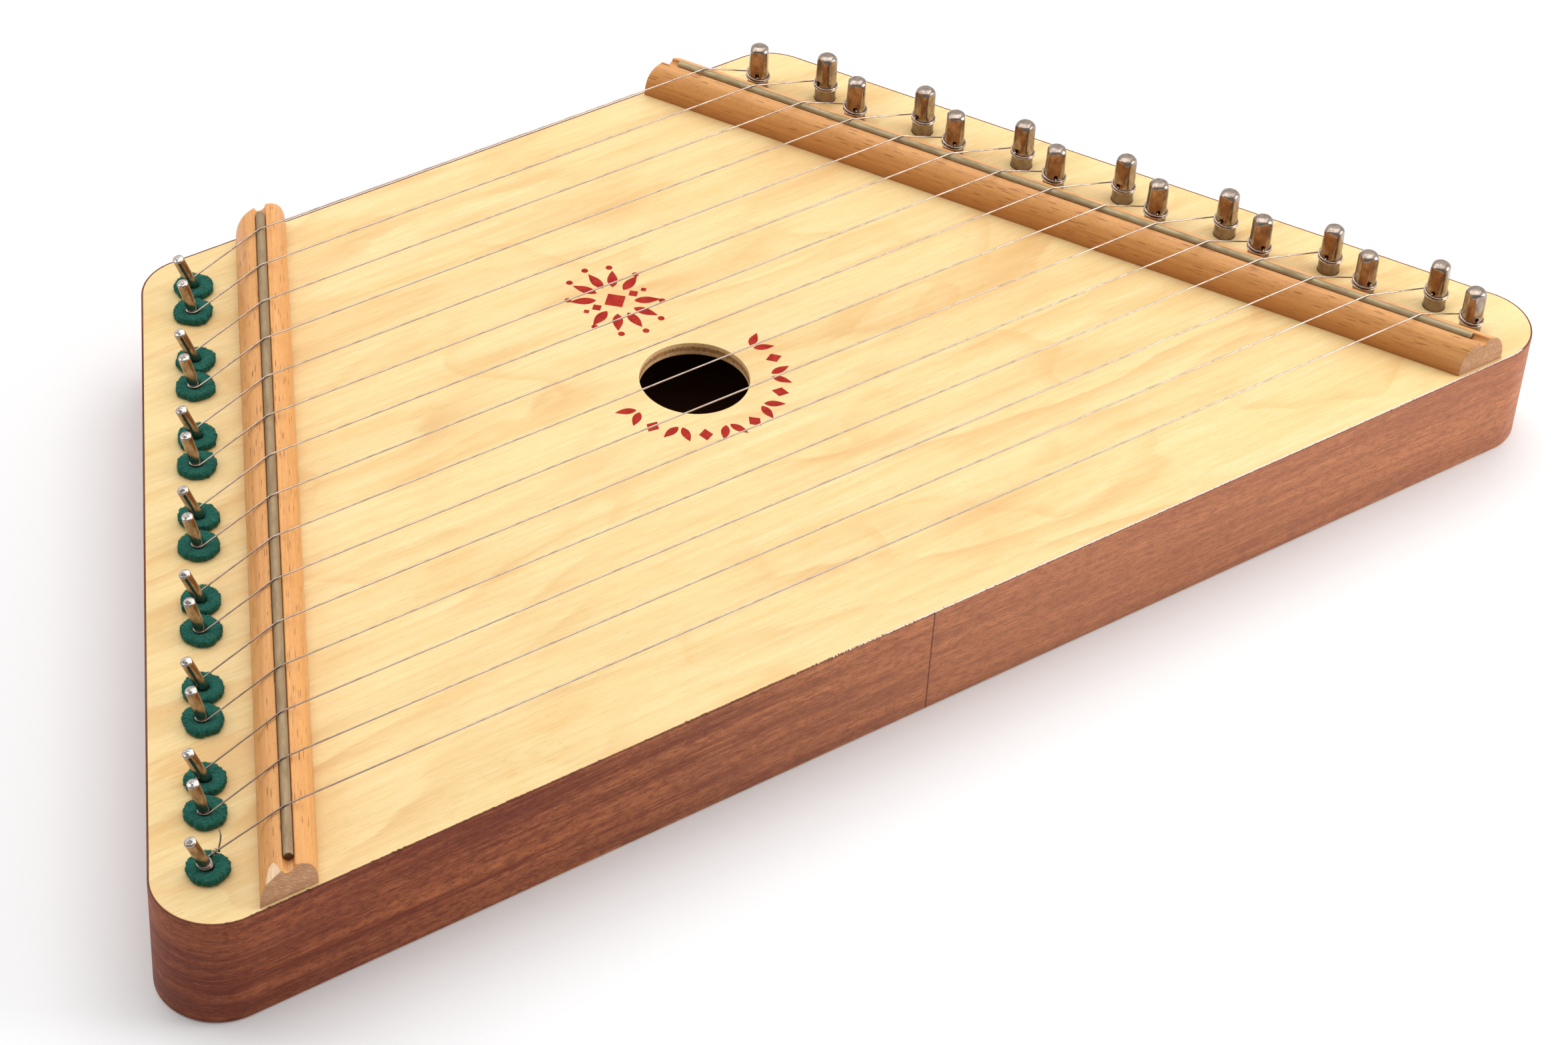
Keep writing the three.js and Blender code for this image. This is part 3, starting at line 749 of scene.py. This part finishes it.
def side_band():
    """The veneer, swept round the outline from one side of its seam to the other."""
    points, normals, lengths = outline(straight_step=0.36 * MM, arc_step=0.36 * MM)
    half_seam = 0.03 * MM
    points[0, 0] = half_seam
    points[-1, 0] = -half_seam
    # The section's corners, in millimetres: how far in from the outline, how high, how ragged the
    # veneer is there, and how much pale colour its edge takes there.
    section = [
        (0.40, 0.3, 0, 0), (0.15, 0.3, 0, 0), (0.0, 0.5, 0, 0), (0.0, 12.0, 0, 0), (0.0, 24.0, 0, 0),
        (0.0, 33.2, 0, 0), (0.0, 33.7, 0.3, 0), (0.05, 33.88, 1, 0.5), (0.14, 33.99, 1, 1),
        (0.30, 34.01, 0, 1), (0.42, 34.01, 1.5, 1), (0.42, 33.95, 1.5, 1), (0.42, 33.8, 0, 0),
        (0.49, 33.6, 0, 0), (0.49, 20.0, 0, 0), (0.49, 4.0, 0, 0),
    ]
    # How much of the top edge is pale: hardly on the left, most on the right, and not at all round
    # the other sides.
    left_pale_edge = 0.10
    right_pale_edge = 0.66
    never_pale_edge = -0.5
    change = 75 * MM  # of the long side, left of its middle
    corner_fade = 3 * MM
    least_torn = 0.12
    rings = []
    grain = []
    pale_edges = []
    for point, normal, length in zip(points, normals, lengths):
        along = limited(1 - (point[1] + DEPTH / 2) / corner_fade)  # 1 on the long side, 0 elsewhere
        tear = noise.noise(Vector((length / (0.8 * MM), 3.1, 0))) * 0.24
        tear += noise.noise(Vector((length / (3.5 * MM), 7.7, 0))) * 0.22
        tear = abs(tear) * (least_torn + (1 - least_torn) * along)
        pale_edge = left_pale_edge + (right_pale_edge - left_pale_edge) * limited((point[0] + change) / change)
        pale_edge = never_pale_edge + (pale_edge - never_pale_edge) * along
        for inset, height, ragged, pale in section:
            place = point - (inset + tear * ragged) * MM * normal
            drop = tear * min(ragged, 1) if height * MM < HEIGHT else 0.0
            rings.append((place[0], place[1], (height - drop) * MM))
            grain.append((length, height * MM, inset * MM))
            pale_edges.append(never_pale_edge + (pale_edge - never_pale_edge) * pale)
    skin = loft(np.array(rings).reshape(len(points), len(section), 3))
    sharp = math.radians(50)
    mesh = add_skin("side_veneer", skin, sapele_material(), "sapele", sharp, replaces=["side_band"])
    mark(mesh, grain=grain, arris=pale_edges)


def inner_woods():
    """New materials for the CAD pieces that are seen only through the sound hole, if at all."""
    hardwood = inner_wood_material("inner_hardwood", (0.62, 0.42, 0.24), (0.45, 0.27, 0.14), 5)
    pine = inner_wood_material("inner_pine", (0.76, 0.56, 0.32), (0.62, 0.38, 0.17), 3)
    woods = {
        hardwood: ["hitch_pin_block", "tuning_pin_block"],
        pine: ["long_rail", "short_rail", "soundboard_brace_front", "soundboard_brace_back"],
    }
    for material, nodes in woods.items():
        for node in nodes:
            mesh = frame["nodes"][node].data
            mesh.materials.clear()
            mesh.materials.append(material)


# ---- bridges ----


def bridge_section():
    """The bridge's section as (outwards, up) from its centre line on the soundboard, anticlockwise."""
    half = BRIDGE_WIDTH / 2
    groove = ROD_RADIUS + 0.15 * MM
    squareness = 2.5
    crown = []
    for share in shares(22):
        angle = share * math.pi / 2
        outwards = half * max(math.cos(angle), 0.0) ** (2 / squareness)
        if outwards > groove + 0.5 * MM:
            crown.append((outwards, BRIDGE_HEIGHT * math.sin(angle) ** (2 / squareness)))
    lip = [(groove + 0.32 * MM, BRIDGE_HEIGHT - 0.03 * MM), (groove + 0.10 * MM, BRIDGE_HEIGHT - 0.12 * MM)]
    dips = [math.radians(10 + 160 * share) for share in shares(14)]
    trough = [(groove * math.cos(angle), ROD_LIFT - groove * math.sin(angle)) for angle in dips]
    right = crown + lip
    left = [(-outwards, up) for outwards, up in reversed(right)]
    foot = [(-half * 0.5, 0.0), (0.0, 0.0), (half * 0.5, 0.0)]
    return right + trough + left + foot


def shrunk(section, amount):
    """The section with each corner moved inwards by amount."""
    result = []
    for index, (u, v) in enumerate(section):
        before = Vector(section[index - 1])
        after = Vector(section[(index + 1) % len(section)])
        along = (after - before).normalized()
        result.append((u - along.y * amount, max(v + along.x * amount, 0.0)))
    return result


def bridge(side, name, node, chipped=False):
    section = bridge_section()
    bevel = 0.16 * MM
    end_y = DEPTH / 2 - BRIDGE_END
    inner_y = end_y - bevel
    spacing = 1.5 * MM
    steps = math.ceil(2 * inner_y / spacing)
    rows = [(-end_y, bevel), (-end_y + bevel * 0.3, bevel * 0.3)]
    rows += [(-inner_y + 2 * inner_y * share, 0.0) for share in shares(steps)]
    rows += [(end_y - bevel * 0.3, bevel * 0.3), (end_y, bevel)]
    rings = []
    grain = []
    for y, inset in rows:
        ring = []
        for u, v in shrunk(section, inset):
            sway = 0.0
            if v > 0.5 * MM and abs(u) > 2.2 * MM:
                sway = noise.noise(Vector((y / (24 * MM), u / (5 * MM), side * 7))) * 0.10 * MM
            ring.append(bridge_point(side, y, u + sway, v))
            grain.append((y * SLANT, u, v + side * 40 * MM))
        rings.append(ring)
    sharp = math.radians(32)
    mesh = add_skin(name, loft(rings), BEECH, "beech", sharp, replaces=[node])
    mark(mesh, grain=grain)
    split = [False] * len(mesh.polygons)
    if chipped:
        cut = chip_corner(mesh, side, end_y, sharp)
        near_end = 4 * MM - end_y
        split = [face.normal.dot(cut) > 0.99 and face.center.y < near_end for face in mesh.polygons]
    mark(mesh, end=[abs(face.normal.y) > 0.93 for face in mesh.polygons], split=split)


def chip_corner(mesh, side, end_y, sharp):
    """Cuts a splinter off the outer top edge of the front end, and returns the way the cut faces."""
    by_groove = bridge_point(side, -end_y, 2.05 * MM, 9.25 * MM)
    down_the_end = bridge_point(side, -end_y, 4.9 * MM, 7.3 * MM)
    along_the_top = bridge_point(side, 3.4 * MM - end_y, 2.5 * MM, 9.42 * MM)
    normal = (down_the_end - by_groove).cross(along_the_top - by_groove).normalized()
    if normal.z < 0:
        normal = -normal

    def cut(shape):
        everything = shape.verts[:] + shape.edges[:] + shape.faces[:]
        bmesh.ops.bisect_plane(shape, geom=everything, plane_co=by_groove, plane_no=normal, clear_outer=True)
        rim = [edge for edge in shape.edges if edge.is_boundary]
        bmesh.ops.holes_fill(shape, edges=rim, sides=0)

    rework(mesh, sharp, cut)
    return normal


def bridge_rod(side, name, node):
    """A drawn brass rod with turned ends, lying in the bridge's groove."""
    sides = 32
    middle = Vector((side * (HALF_WIDTH - BRIDGE_SETBACK), 0, HEIGHT + ROD_LIFT))
    along = Vector((-side * SLOPE, 1, 0)).normalized()
    across = Vector((1, side * SLOPE, 0)).normalized()
    half = (DEPTH / 2 - ROD_END) * SLANT
    inner = half - 0.35 * MM
    turned_end = [(-half, 0.25), (-half, 0.80), (-half + 0.12 * MM, 0.94), (-inner, 1.0)]
    straight = [(-inner + 2 * inner * share, 1.0) for share in shares(60)[1:-1]]
    rings = []
    grain = []
    for distance, size in turned_end + straight + [(-distance, size) for distance, size in turned_end[::-1]]:
        place = middle + along * distance
        place = place + across * noise.noise(Vector((distance / (45 * MM), side * 3, 1))) * 0.06 * MM
        radius = ROD_RADIUS * size
        rings.append(ring_round(place, across, UP, radius, sides))
        for angle in angles_round(sides):
            grain.append((distance, radius * math.cos(angle) + side * 20 * MM, radius * math.sin(angle)))
    mesh = add_skin(name, loft(rings), BRASS, "brass_rod", replaces=[node])
    mark(mesh, grain=grain, end=[abs(face.normal.y) > 0.7 for face in mesh.polygons])


# ---- tuning pins ----


def soft_least(first, second, softness):
    """The smaller of two lengths, rounded over where they are close."""
    gap = max(softness - abs(first - second), 0.0) / softness
    return min(first, second) - gap * gap * softness / 4


def head_flat(lift):
    """Half the distance across the flats, which run out into the round shank below the head."""
    share = (lift - HEAD_FROM) / (TUNING_TOP - HEAD_FROM)
    if share >= 0:
        return (HEAD_LOW_FLATS + (HEAD_HIGH_FLATS - HEAD_LOW_FLATS) * share) / 2
    run_out = 1.6 * MM
    run_out_depth = 0.6 * MM
    return HEAD_LOW_FLATS / 2 + run_out_depth * ((HEAD_FROM - lift) / run_out) ** 1.6


def bar_radius(lift):
    """The radius of the round, slightly tapered bar that the pin is cut from, with its crowned top."""
    crown = 1.9 * MM
    crown_top = 0.30  # of the bar's radius
    taper = 0.035
    below = TUNING_TOP - lift
    if below >= crown:
        return SHANK_RADIUS * (1 - taper * max(lift, 0) / TUNING_TOP)
    share = 1 - below / crown
    rounding = math.sqrt(max(1 - share * share, 0))
    return SHANK_RADIUS * (1 - taper) * (crown_top + (1 - crown_top) * rounding)


def tuning_pin_mesh():
    foot = -3 * MM
    waist = 2 * MM
    crown = 2 * MM
    neck = TUNING_TOP - crown
    lifts = [foot + (waist - foot) * share for share in shares(4)[:-1]]
    lifts += [waist + (neck - waist) * share for share in shares(44)[:-1]]
    lifts += [TUNING_TOP - crown * (1 - math.sin(math.pi / 2 * share)) for share in shares(16)]
    rings = []
    for lift in lifts:
        ring = []
        for angle in angles_round(72):
            facing = math.cos(((angle + math.pi / 4) % (math.pi / 2)) - math.pi / 4)
            radius = soft_least(bar_radius(lift), head_flat(lift) / facing, softness=0.30 * MM)
            ring.append((radius * math.cos(angle), radius * math.sin(angle), lift))
        rings.append(ring)
    rings.append([(0.25 * x, 0.25 * y, TUNING_TOP + 0.04 * MM) for x, y, _ in rings[-1]])
    return drilled(new_mesh("tuning_pin", *loft(rings), sharp=math.radians(60)))


def drilled(mesh):
    """The pin with its string hole cut through it along X."""
    reach = 2 * SHANK_RADIUS
    ends = [Vector((x, 0, STRING_HOLE_LIFT)) for x in (-reach, reach)]
    rings = [ring_round(end, BACK, UP, STRING_HOLE_RADIUS, 20) for end in ends]
    drill = link(bpy.data.objects.new("drill", new_mesh("drill", *loft(rings))))
    blank = link(bpy.data.objects.new("blank", mesh))
    cut = blank.modifiers.new("hole", "BOOLEAN")
    cut.operation = "DIFFERENCE"
    cut.object = drill
    cut.solver = "EXACT"
    result = baked(blank)
    bpy.data.objects.remove(blank)
    bpy.data.objects.remove(drill)
    smooth(result, math.radians(50))
    return result


def tuning_pins():
    pattern = tuning_pin_mesh()
    material = nickel_material("nickel_tuning_pin", 9, COIL_LIFT, TUNING_TOP - 1.4 * MM, 0.08)
    for course, axis in TUNING_AXES.items():
        mesh = pattern.copy()
        mesh.transform(Matrix.Translation(axis) @ Matrix.Rotation(rest_turn(course), 4, "Z"))
        places = {"body": f"pin_{course:02d}", "replaces": [f"tuning_pin_{course:02d}"]}
        add_object(f"zither_pin_{course:02d}", mesh, material, "nickel_pin", **places)


# ---- hitch pins and felt ----


def hitch_pin(course, material):
    """A leaning steel nail whose cut end has been turned to a low point."""
    chance = random.Random(course)
    lean = hitch_lean(course)
    axis = Vector((-math.sin(lean), 0, math.cos(lean)))
    up = axis.cross(BACK)
    base = hitch_point(course, LOOP_LIFT)
    top = (HITCH_TOP - LOOP_LIFT) / math.cos(lean)
    bottom = (-3 * MM - LOOP_LIFT) / math.cos(lean)
    nose = 0.55 + chance.uniform(0, 0.25)
    # How far each ring is below the tip, in millimetres, and its share of the nail's radius.
    tip = [(1.15, 1.0), (nose + 0.12, 0.99), (nose, 0.93), (nose - 0.10, 0.84), (nose - 0.16, 0.70)]
    tip += [(nose - 0.20, 0.62), (0.30, 0.52), (0.22, 0.36), (0.10, 0.28), (0.02, 0.15), (0, 0.04)]
    phase = chance.uniform(0, 2 * math.pi)
    rings = []
    for distance, size in [(bottom, 1.0), (0.0, 1.0)] + [(top - below * MM, size) for below, size in tip]:
        ring = []
        for angle in angles_round(32):
            dent = 0.16 * (1 - size) * math.cos(3 * angle + phase)
            radius = HITCH_RADIUS * (size + dent)
            ring.append(base + axis * distance + radius * (math.cos(angle) * BACK + math.sin(angle) * up))
        rings.append(ring)
    name = f"hitch_nail_{course:02d}"
    node = f"hitch_pin_{course:02d}"
    add_skin(name, loft(rings), material, "nickel_pin", math.radians(42), replaces=[node])


def felt_washer(course, material, node):
    """A punched felt washer, soft-edged and uneven, with its top pressed down round the nail."""
    chance = random.Random(100 + course)
    hole = HITCH_RADIUS + 0.05 * MM
    outer = FELT_RADIUS - 0.42 * MM  # before it swells
    middle = (outer + hole) / 2
    half_width = (outer - hole) / 2
    half_height = (FELT_TOP - 0.1 * MM) / 2
    clearance = 0.06 * MM
    pressed = 0.22 * MM
    squareness = 0.42
    base = hitch_point(course, 1.2 * MM)
    shift = Vector((chance.uniform(-40, 40), chance.uniform(-40, 40), 0))

    def squared(part):
        return math.copysign(abs(part) ** squareness, part)

    section = [(squared(math.cos(turn)), squared(math.sin(turn))) for turn in angles_round(56)]
    rings = []
    for angle in angles_round(150):
        facing = polar(1, angle)
        swell = noise.noise(facing * 1.3 + shift) * 0.55 + noise.noise(facing * 6 + shift) * 0.38
        ring = []
        for out, up in section:
            share = (out + 1) / 2
            radius = middle + half_width * out + swell * share * MM
            lift = half_height * (1 + up) + clearance
            place = Vector((base.x, base.y, HEIGHT + lift)) + facing * radius
            if up > -0.6:
                place += felt_fuzz(place, shift, facing * out + UP * up) * min(1.0, share * 3)
                place.z -= pressed * (1 - share) ** 2 * (up + 1) / 2
            ring.append(place)
        rings.append(ring)
    skin = join_parts([loft(rings, looped=True), *felt_hairs(rings, chance)])
    add_skin(f"felt_{course:02d}", skin, material, "green_felt", NEVER_SHARP, replaces=[node])


def felt_fuzz(place, shift, outwards):
    """How far the tufts of the felt push a point of its surface out."""
    tufts = noise.noise(place / (1.1 * MM) + shift) * 0.17
    fibres = noise.noise(place / (0.42 * MM) + shift) * 0.15
    wool = place / (0.30 * MM) - shift
    lean = Vector([noise.noise(wool + Vector((0, 0, apart))) for apart in (0, 17.3, 41.9)]) * 0.07
    return (outwards.normalized() * (tufts + fibres) + lean) * MM


def felt_hair(root, outwards, chance):
    """A loose wool fibre, rooted in the felt: a fine three-sided spike with a bend."""
    radius = 0.030 * MM
    scatter = Vector([chance.uniform(-1, 1) for _ in range(3)])
    way = (outwards * 0.7 + scatter * 0.9).normalized()
    bend = Vector([chance.uniform(-1, 1) for _ in range(3)]) * 0.7
    length = chance.uniform(0.18, 0.50) * MM
    across = way.orthogonal().normalized()
    up = way.cross(across)
    middle = root + way * length * 0.55
    points = ring_round(root - way * 0.08 * MM, across, up, radius, 3)
    points += ring_round(middle, across, up, radius * 0.8, 3)
    points.append(tuple(middle + (way + bend).normalized() * length * 0.45))
    faces = [(2, 1, 0)]
    for low, following in ((0, 1), (1, 2), (2, 0)):
        faces += [(low, following, following + 3, low + 3), (low + 3, following + 3, 6)]
    return points, faces


def felt_hairs(rings, chance):
    """Hairs here and there on the washer's skin, on its top and outer side."""
    count = 800
    hairs = []
    for _ in range(count):
        ring = chance.randrange(len(rings))
        steps = len(rings[ring])
        index = chance.randrange(-steps // 16, steps // 2)
        root = rings[ring][index]
        beside = rings[ring][(index + 1) % steps]
        behind = rings[(ring + 1) % len(rings)][index]
        outwards = (beside - root).cross(behind - root).normalized()
        hairs.append(felt_hair(root, -outwards if outwards.z < 0 else outwards, chance))
    return hairs


def hitch_side():
    nickel = nickel_material("nickel_hitch_pin", 6, FELT_TOP, HITCH_TOP - 1.0 * MM, 0.7)
    felt = felt_material()
    for course in range(1, COURSES + 1):
        hitch_pin(course, nickel)
        odd = course if is_odd(course) else course - 1
        node = f"felt_washers_{odd:02d}_{odd + 1:02d}" if odd < COURSES else f"felt_washer_{odd:02d}"
        felt_washer(course, felt, node)


# ---- strings ----


def over_rod(course, side, target):
    """Points of the wire's bend over a rod, from the level string to where it drops to the target."""
    middle = bridge_point(side, course_y(course), 0, ROD_LIFT)
    reach = ROD_RADIUS + WIRE_RADIUS
    drop = Vector((target.x - middle.x, target.y - middle.y, 0))
    away = drop.normalized()
    slope = 0.4
    for _ in range(6):
        touch = drop.length - reach * math.sin(slope) * SLANT
        fall = middle.z + reach * math.cos(slope) - target.z
        slope = math.atan2(fall, touch)
    points = []
    for share in shares(5):
        angle = slope * share
        along = away * (reach * math.sin(angle) * SLANT)
        points.append(middle + along + UP * reach * math.cos(angle))
    return points


def beside_pin(course, angle, radius, lift):
    """A point beside a tuning pin, at an angle round its axis and a height above the soundboard."""
    return TUNING_AXES[course] + polar(radius, angle, lift)


def coil_points(course):
    """From the bridge side of the tuning pin, in close turns and then up, almost to its string hole."""
    chance = random.Random(200 + course)
    total = 2 * FULL_TURN + FULL_TURN / 4 - rest_turn(course) - COIL_STOP
    climb_from = total - COIL_LEVEL - FULL_TURN / 2
    pitch = chance.uniform(0.47, 0.62) * MM
    packed = pitch * climb_from / FULL_TURN
    climb = STRING_HOLE_LIFT - COIL_LIFT - packed
    steps_a_turn = 40
    points = []
    for share in shares(math.ceil(steps_a_turn * total / FULL_TURN)):
        run = total * share
        climbed = limited((run - climb_from) / (FULL_TURN / 2))
        lift = COIL_LIFT + packed * min(run / climb_from, 1) + climb * climbed**1.2
        points.append(beside_pin(course, FULL_TURN / 4 - run, COIL_RADIUS, lift))
    return points


def loop_points(course, from_angle, to_angle, steps, rise=0.0):
    """Points round a hitch pin just above its felt, between two angles in degrees."""
    points = []
    for share in shares(steps):
        angle = math.radians(from_angle + (to_angle - from_angle) * share)
        middle = hitch_point(course, FELT_TOP + WIRE_RADIUS + rise * share)
        points.append(middle + polar(LOOP_RADIUS, angle))
    return points


def string_half(course, hitch_end):
    """The wire of one course, from its tuning pin's hole to the hitch pin."""
    coil = coil_points(course)[::-1]
    right = over_rod(course, 1, coil[-1])[::-1]
    return coil + right + over_rod(course, -1, hitch_end)


def add_wire(name, path, material, radius=WIRE_RADIUS, **places):
    add_skin(name, tube(path, radius), material, "string_steel", NEVER_SHARP, **places)


def paired_string(odd, even, material):
    """One wire makes two courses: it runs round the outer side of both hitch pins."""
    round_odd = loop_points(odd, 78, 180, 8)
    round_even = loop_points(even, 180, 282, 8)
    path = string_half(odd, round_odd[0]) + round_odd + round_even
    path += string_half(even, round_even[-1])[::-1]
    numbers = f"{odd:02d}_{even:02d}"
    add_wire(f"wire_{numbers}", path, material, replaces=[f"string_{numbers}"])


def last_string(material):
    """The last wire is wound round its own hitch pin, twisted on itself and left with a loose tail."""
    wraps = loop_points(COURSES, 80, 80 + 360 * 2.5 + 120, 70, rise=1.3 * MM)
    path = string_half(COURSES, wraps[0])
    main_way = (path[-1] - wraps[0]).normalized()
    side_way = main_way.cross(UP).normalized()
    up_way = side_way.cross(main_way)
    path += wraps
    twist_turns = 2.5
    twist_from = 2.2 * MM
    twist_length = 2.4 * MM
    for share in shares(40):
        angle = -math.pi / 2 + twist_turns * FULL_TURN * share
        middle = wraps[0] + main_way * (twist_from + twist_length * share)
        ring = side_way * math.cos(angle) + up_way * math.sin(angle)
        path.append(middle + ring * 2.15 * WIRE_RADIUS)
    tail_from = path[-1]
    for share in shares(16)[1:]:
        curl = 0.5 * math.sin(share * 3)
        path.append(tail_from + Vector((1.6 * share + curl, 2.6 * share, 3.0 * share + curl)) * MM)
    add_wire(f"wire_{COURSES}", path, material, replaces=[f"string_{COURSES}"])


def wire_ends(material):
    """The end of each wire, which turns with its pin: out of the coil, through the hole, and cut off.

    Its arc starts inside the level end of the coil, so that the coil stays whole as the pin turns."""
    arc_from = COIL_STOP + COIL_LEVEL
    thickness = 0.85 * WIRE_RADIUS  # a little thinner, so that it lies inside the coil's wire
    for course in TUNING_AXES:
        chance = random.Random(300 + course)
        turn = rest_turn(course)
        route = [(turn + arc_from + (COIL_STOP - arc_from) * share, 0.0) for share in shares(10)]
        # From the coil into the hole: degrees from the hole, and millimetres in from the coil.
        for degrees, inwards in ((3.5, 0.03), (0.8, 0.18), (0.0, 0.50), (0.0, 1.20)):
            route.append((turn + math.radians(degrees), inwards * MM))
        path = []
        for angle, inwards in route:
            path.append(beside_pin(course, angle, COIL_RADIUS - inwards, STRING_HOLE_LIFT))
        facing = -polar(1, turn)
        sideways = UP.cross(facing)
        length = chance.uniform(0.5, 1.3) * MM
        bend = chance.uniform(-0.5, 0.5) * MM
        middle = beside_pin(course, turn, 0, STRING_HOLE_LIFT)
        for share in shares(8):
            path.append(middle + facing * (SHANK_RADIUS + length) * share + sideways * bend * share**4)
        add_wire(f"wire_end_{course:02d}", path, material, thickness, body=f"pin_{course:02d}")


def strings():
    steel = steel_material()
    for odd in range(1, COURSES, 2):
        paired_string(odd, odd + 1, steel)
    last_string(steel)
    wire_ends(steel)


# ---- stamped ornament ----

INK = 0.03 * MM


def ink_shape(loop):
    """A flat patch of ink with that outline, lying on the soundboard."""
    return loft([[(x, y, HEIGHT + lift) for x, y in loop] for lift in (-0.02 * MM, INK)])


def turned(loop, angle, x, y):
    """The loop turned about its own origin and moved to x, y."""
    c = math.cos(angle)
    s = math.sin(angle)
    return [(x + c * u - s * v, y + s * u + c * v) for u, v in loop]


def leaf(length, width):
    """A pointed leaf along +X, from its stalk at the origin."""
    upper = [(length * share, width / 2 * math.sin(math.pi * share**0.8)) for share in shares(12)]
    return upper + [(u, -v) for u, v in upper[-2:0:-1]]


def diamond(length, width):
    return [(length / 2, 0), (0, width / 2), (-length / 2, 0), (0, -width / 2)]


def rosette():
    """A plain woven-border motif: a diamond in the middle, with leaves and dots above and below."""
    middle_y = 35.5 * MM
    leaf_from = 6.2 * MM
    dot_at = 15.4 * MM
    narrowing = 0.8
    shapes = []
    for size in (1, -1):
        for column in range(-2, 3):
            angle = math.pi / 2 * size + math.radians(32) * column * -size
            c = math.cos(angle) * narrowing
            s = math.sin(angle)
            stalk = (leaf_from * c, middle_y + leaf_from * s)
            shapes.append(turned(leaf(7.4 * MM, 2.9 * MM), angle, *stalk))
            shapes.append(circle(dot_at * c, middle_y + dot_at * s, 0.95 * MM, 20))
    for x, size in ((0, 7.0), (6.0, 3.2), (9.4, 2.0), (-6.0, 3.2), (-9.4, 2.0)):
        shapes.append(turned(diamond(size * MM, size * MM), 0, x * MM, middle_y))
    return shapes


def hole_border():
    """Pairs of leaves and diamonds by turns, on an arc round the front half of the sound hole."""
    radius = 23.6 * MM
    first = 190
    last = 368
    shapes = []
    for index, share in enumerate(shares(10)):
        angle = math.radians(first + (last - first) * share)
        if index % 2 == 1:
            middle = (radius * math.cos(angle), HOLE_Y + radius * math.sin(angle))
            shapes.append(turned(diamond(4.8 * MM, 3.8 * MM), angle, *middle))
            continue
        for spread in (-1, 1):
            foot = polar(radius - 2.6 * MM, angle + spread * math.radians(1.6))
            loop = leaf(6.0 * MM, 2.4 * MM)
            shapes.append(turned(loop, angle + spread * math.radians(30), foot.x, HOLE_Y + foot.y))
    return shapes


def ornament():
    material = ink_material()
    for name, shapes in (("stamped_rosette", rosette()), ("stamped_border", hole_border())):
        add_skin(name, join_parts([ink_shape(loop) for loop in shapes]), material, "stamp_ink")


# ---- studio ----


def add_camera():
    data = bpy.data.cameras.new("camera")
    data.sensor_fit = "HORIZONTAL"
    data.sensor_width = 36
    data.lens = 97.135
    data.clip_start = 0.01
    camera = link(bpy.data.objects.new("camera", data))
    camera.location = (-0.51724, -0.71648, 0.76208)
    camera.rotation_euler = [math.radians(angle) for angle in (48.471, -3.108, -34.963)]
    bpy.context.scene.camera = camera


def add_floor():
    """The floor lies a hair below the underside, so that the two faces don't share a plane."""
    half = 3.0
    z = -0.05 * MM
    corners = [(-half, -half, z), (half, -half, z), (half, half, z), (-half, half, z)]
    mesh = bpy.data.meshes.new("floor")
    mesh.from_pydata(corners, [], [(0, 1, 2, 3)])
    mesh.materials.append(floor_material())
    floor = link(bpy.data.objects.new("floor", mesh))


def add_softbox(name, place, target, size, power):
    light = bpy.data.lights.new(name, "AREA")
    light.shape = "RECTANGLE"
    light.size, light.size_y = size
    light.energy = power
    holder = link(bpy.data.objects.new(name, light))
    holder.location = place
    holder.rotation_euler = (Vector(target) - Vector(place)).to_track_quat("-Z", "Y").to_euler()


def add_world():
    """A white studio that is dimmer on the camera's side. The camera itself sees it plain white."""
    world = bpy.data.worlds.new("studio")
    bpy.context.scene.world = world
    world.use_nodes = True
    nodes = Nodes(world.node_tree)
    nodes.tree.nodes.clear()
    direction = nodes.add("TexCoord", output="Generated")
    front_left = (-0.66, -0.75, 0.05)
    product = {"operation": "DOT_PRODUCT"}
    facing = nodes.add("VectorMath", direction, front_left, settings=product, output="Value")
    level = nodes.between(facing, -0.5, 0.8, 0.85, 0.30)
    around = nodes.add("Background", Color=(1.0, 0.985, 0.97, 1.0), Strength=level)
    seen = nodes.add("Background", Color=(1.0, 1.0, 1.0, 1.0))
    choice = nodes.add("MixShader", nodes.add("LightPath", output="Is Camera Ray"), around, seen)
    output = nodes.tree.nodes.new("ShaderNodeOutputWorld")
    nodes.plug(choice, output.inputs["Surface"])


def studio():
    add_floor()
    add_world()
    add_softbox("overhead", (0.15, 0.30, 1.25), (0, 0, 0), (1.7, 1.4), 11.3)
    add_softbox("right_front", (0.85, -0.62, 0.48), (0.05, 0, 0), (0.6, 0.5), 5.6)
    add_softbox("back_left", (-0.9, 0.9, 0.9), (0, 0, 0), (0.8, 0.6), 3)
    view = bpy.context.scene.view_settings
    view.view_transform = "Standard"
    view.look = "None"


# ---- the psaltery ----

add_camera()
BEECH = beech_material()
BRASS = brass_material()

soundboard()
back_plate()
side_band()
inner_woods()
bridge(-1, "left_bridge_bar", "left_bridge", chipped=True)
bridge(1, "right_bridge_bar", "right_bridge")
bridge_rod(-1, "left_brass_rod", "left_bridge_rod")
bridge_rod(1, "right_brass_rod", "right_bridge_rod")
tuning_pins()
hitch_side()
strings()
ornament()
studio()
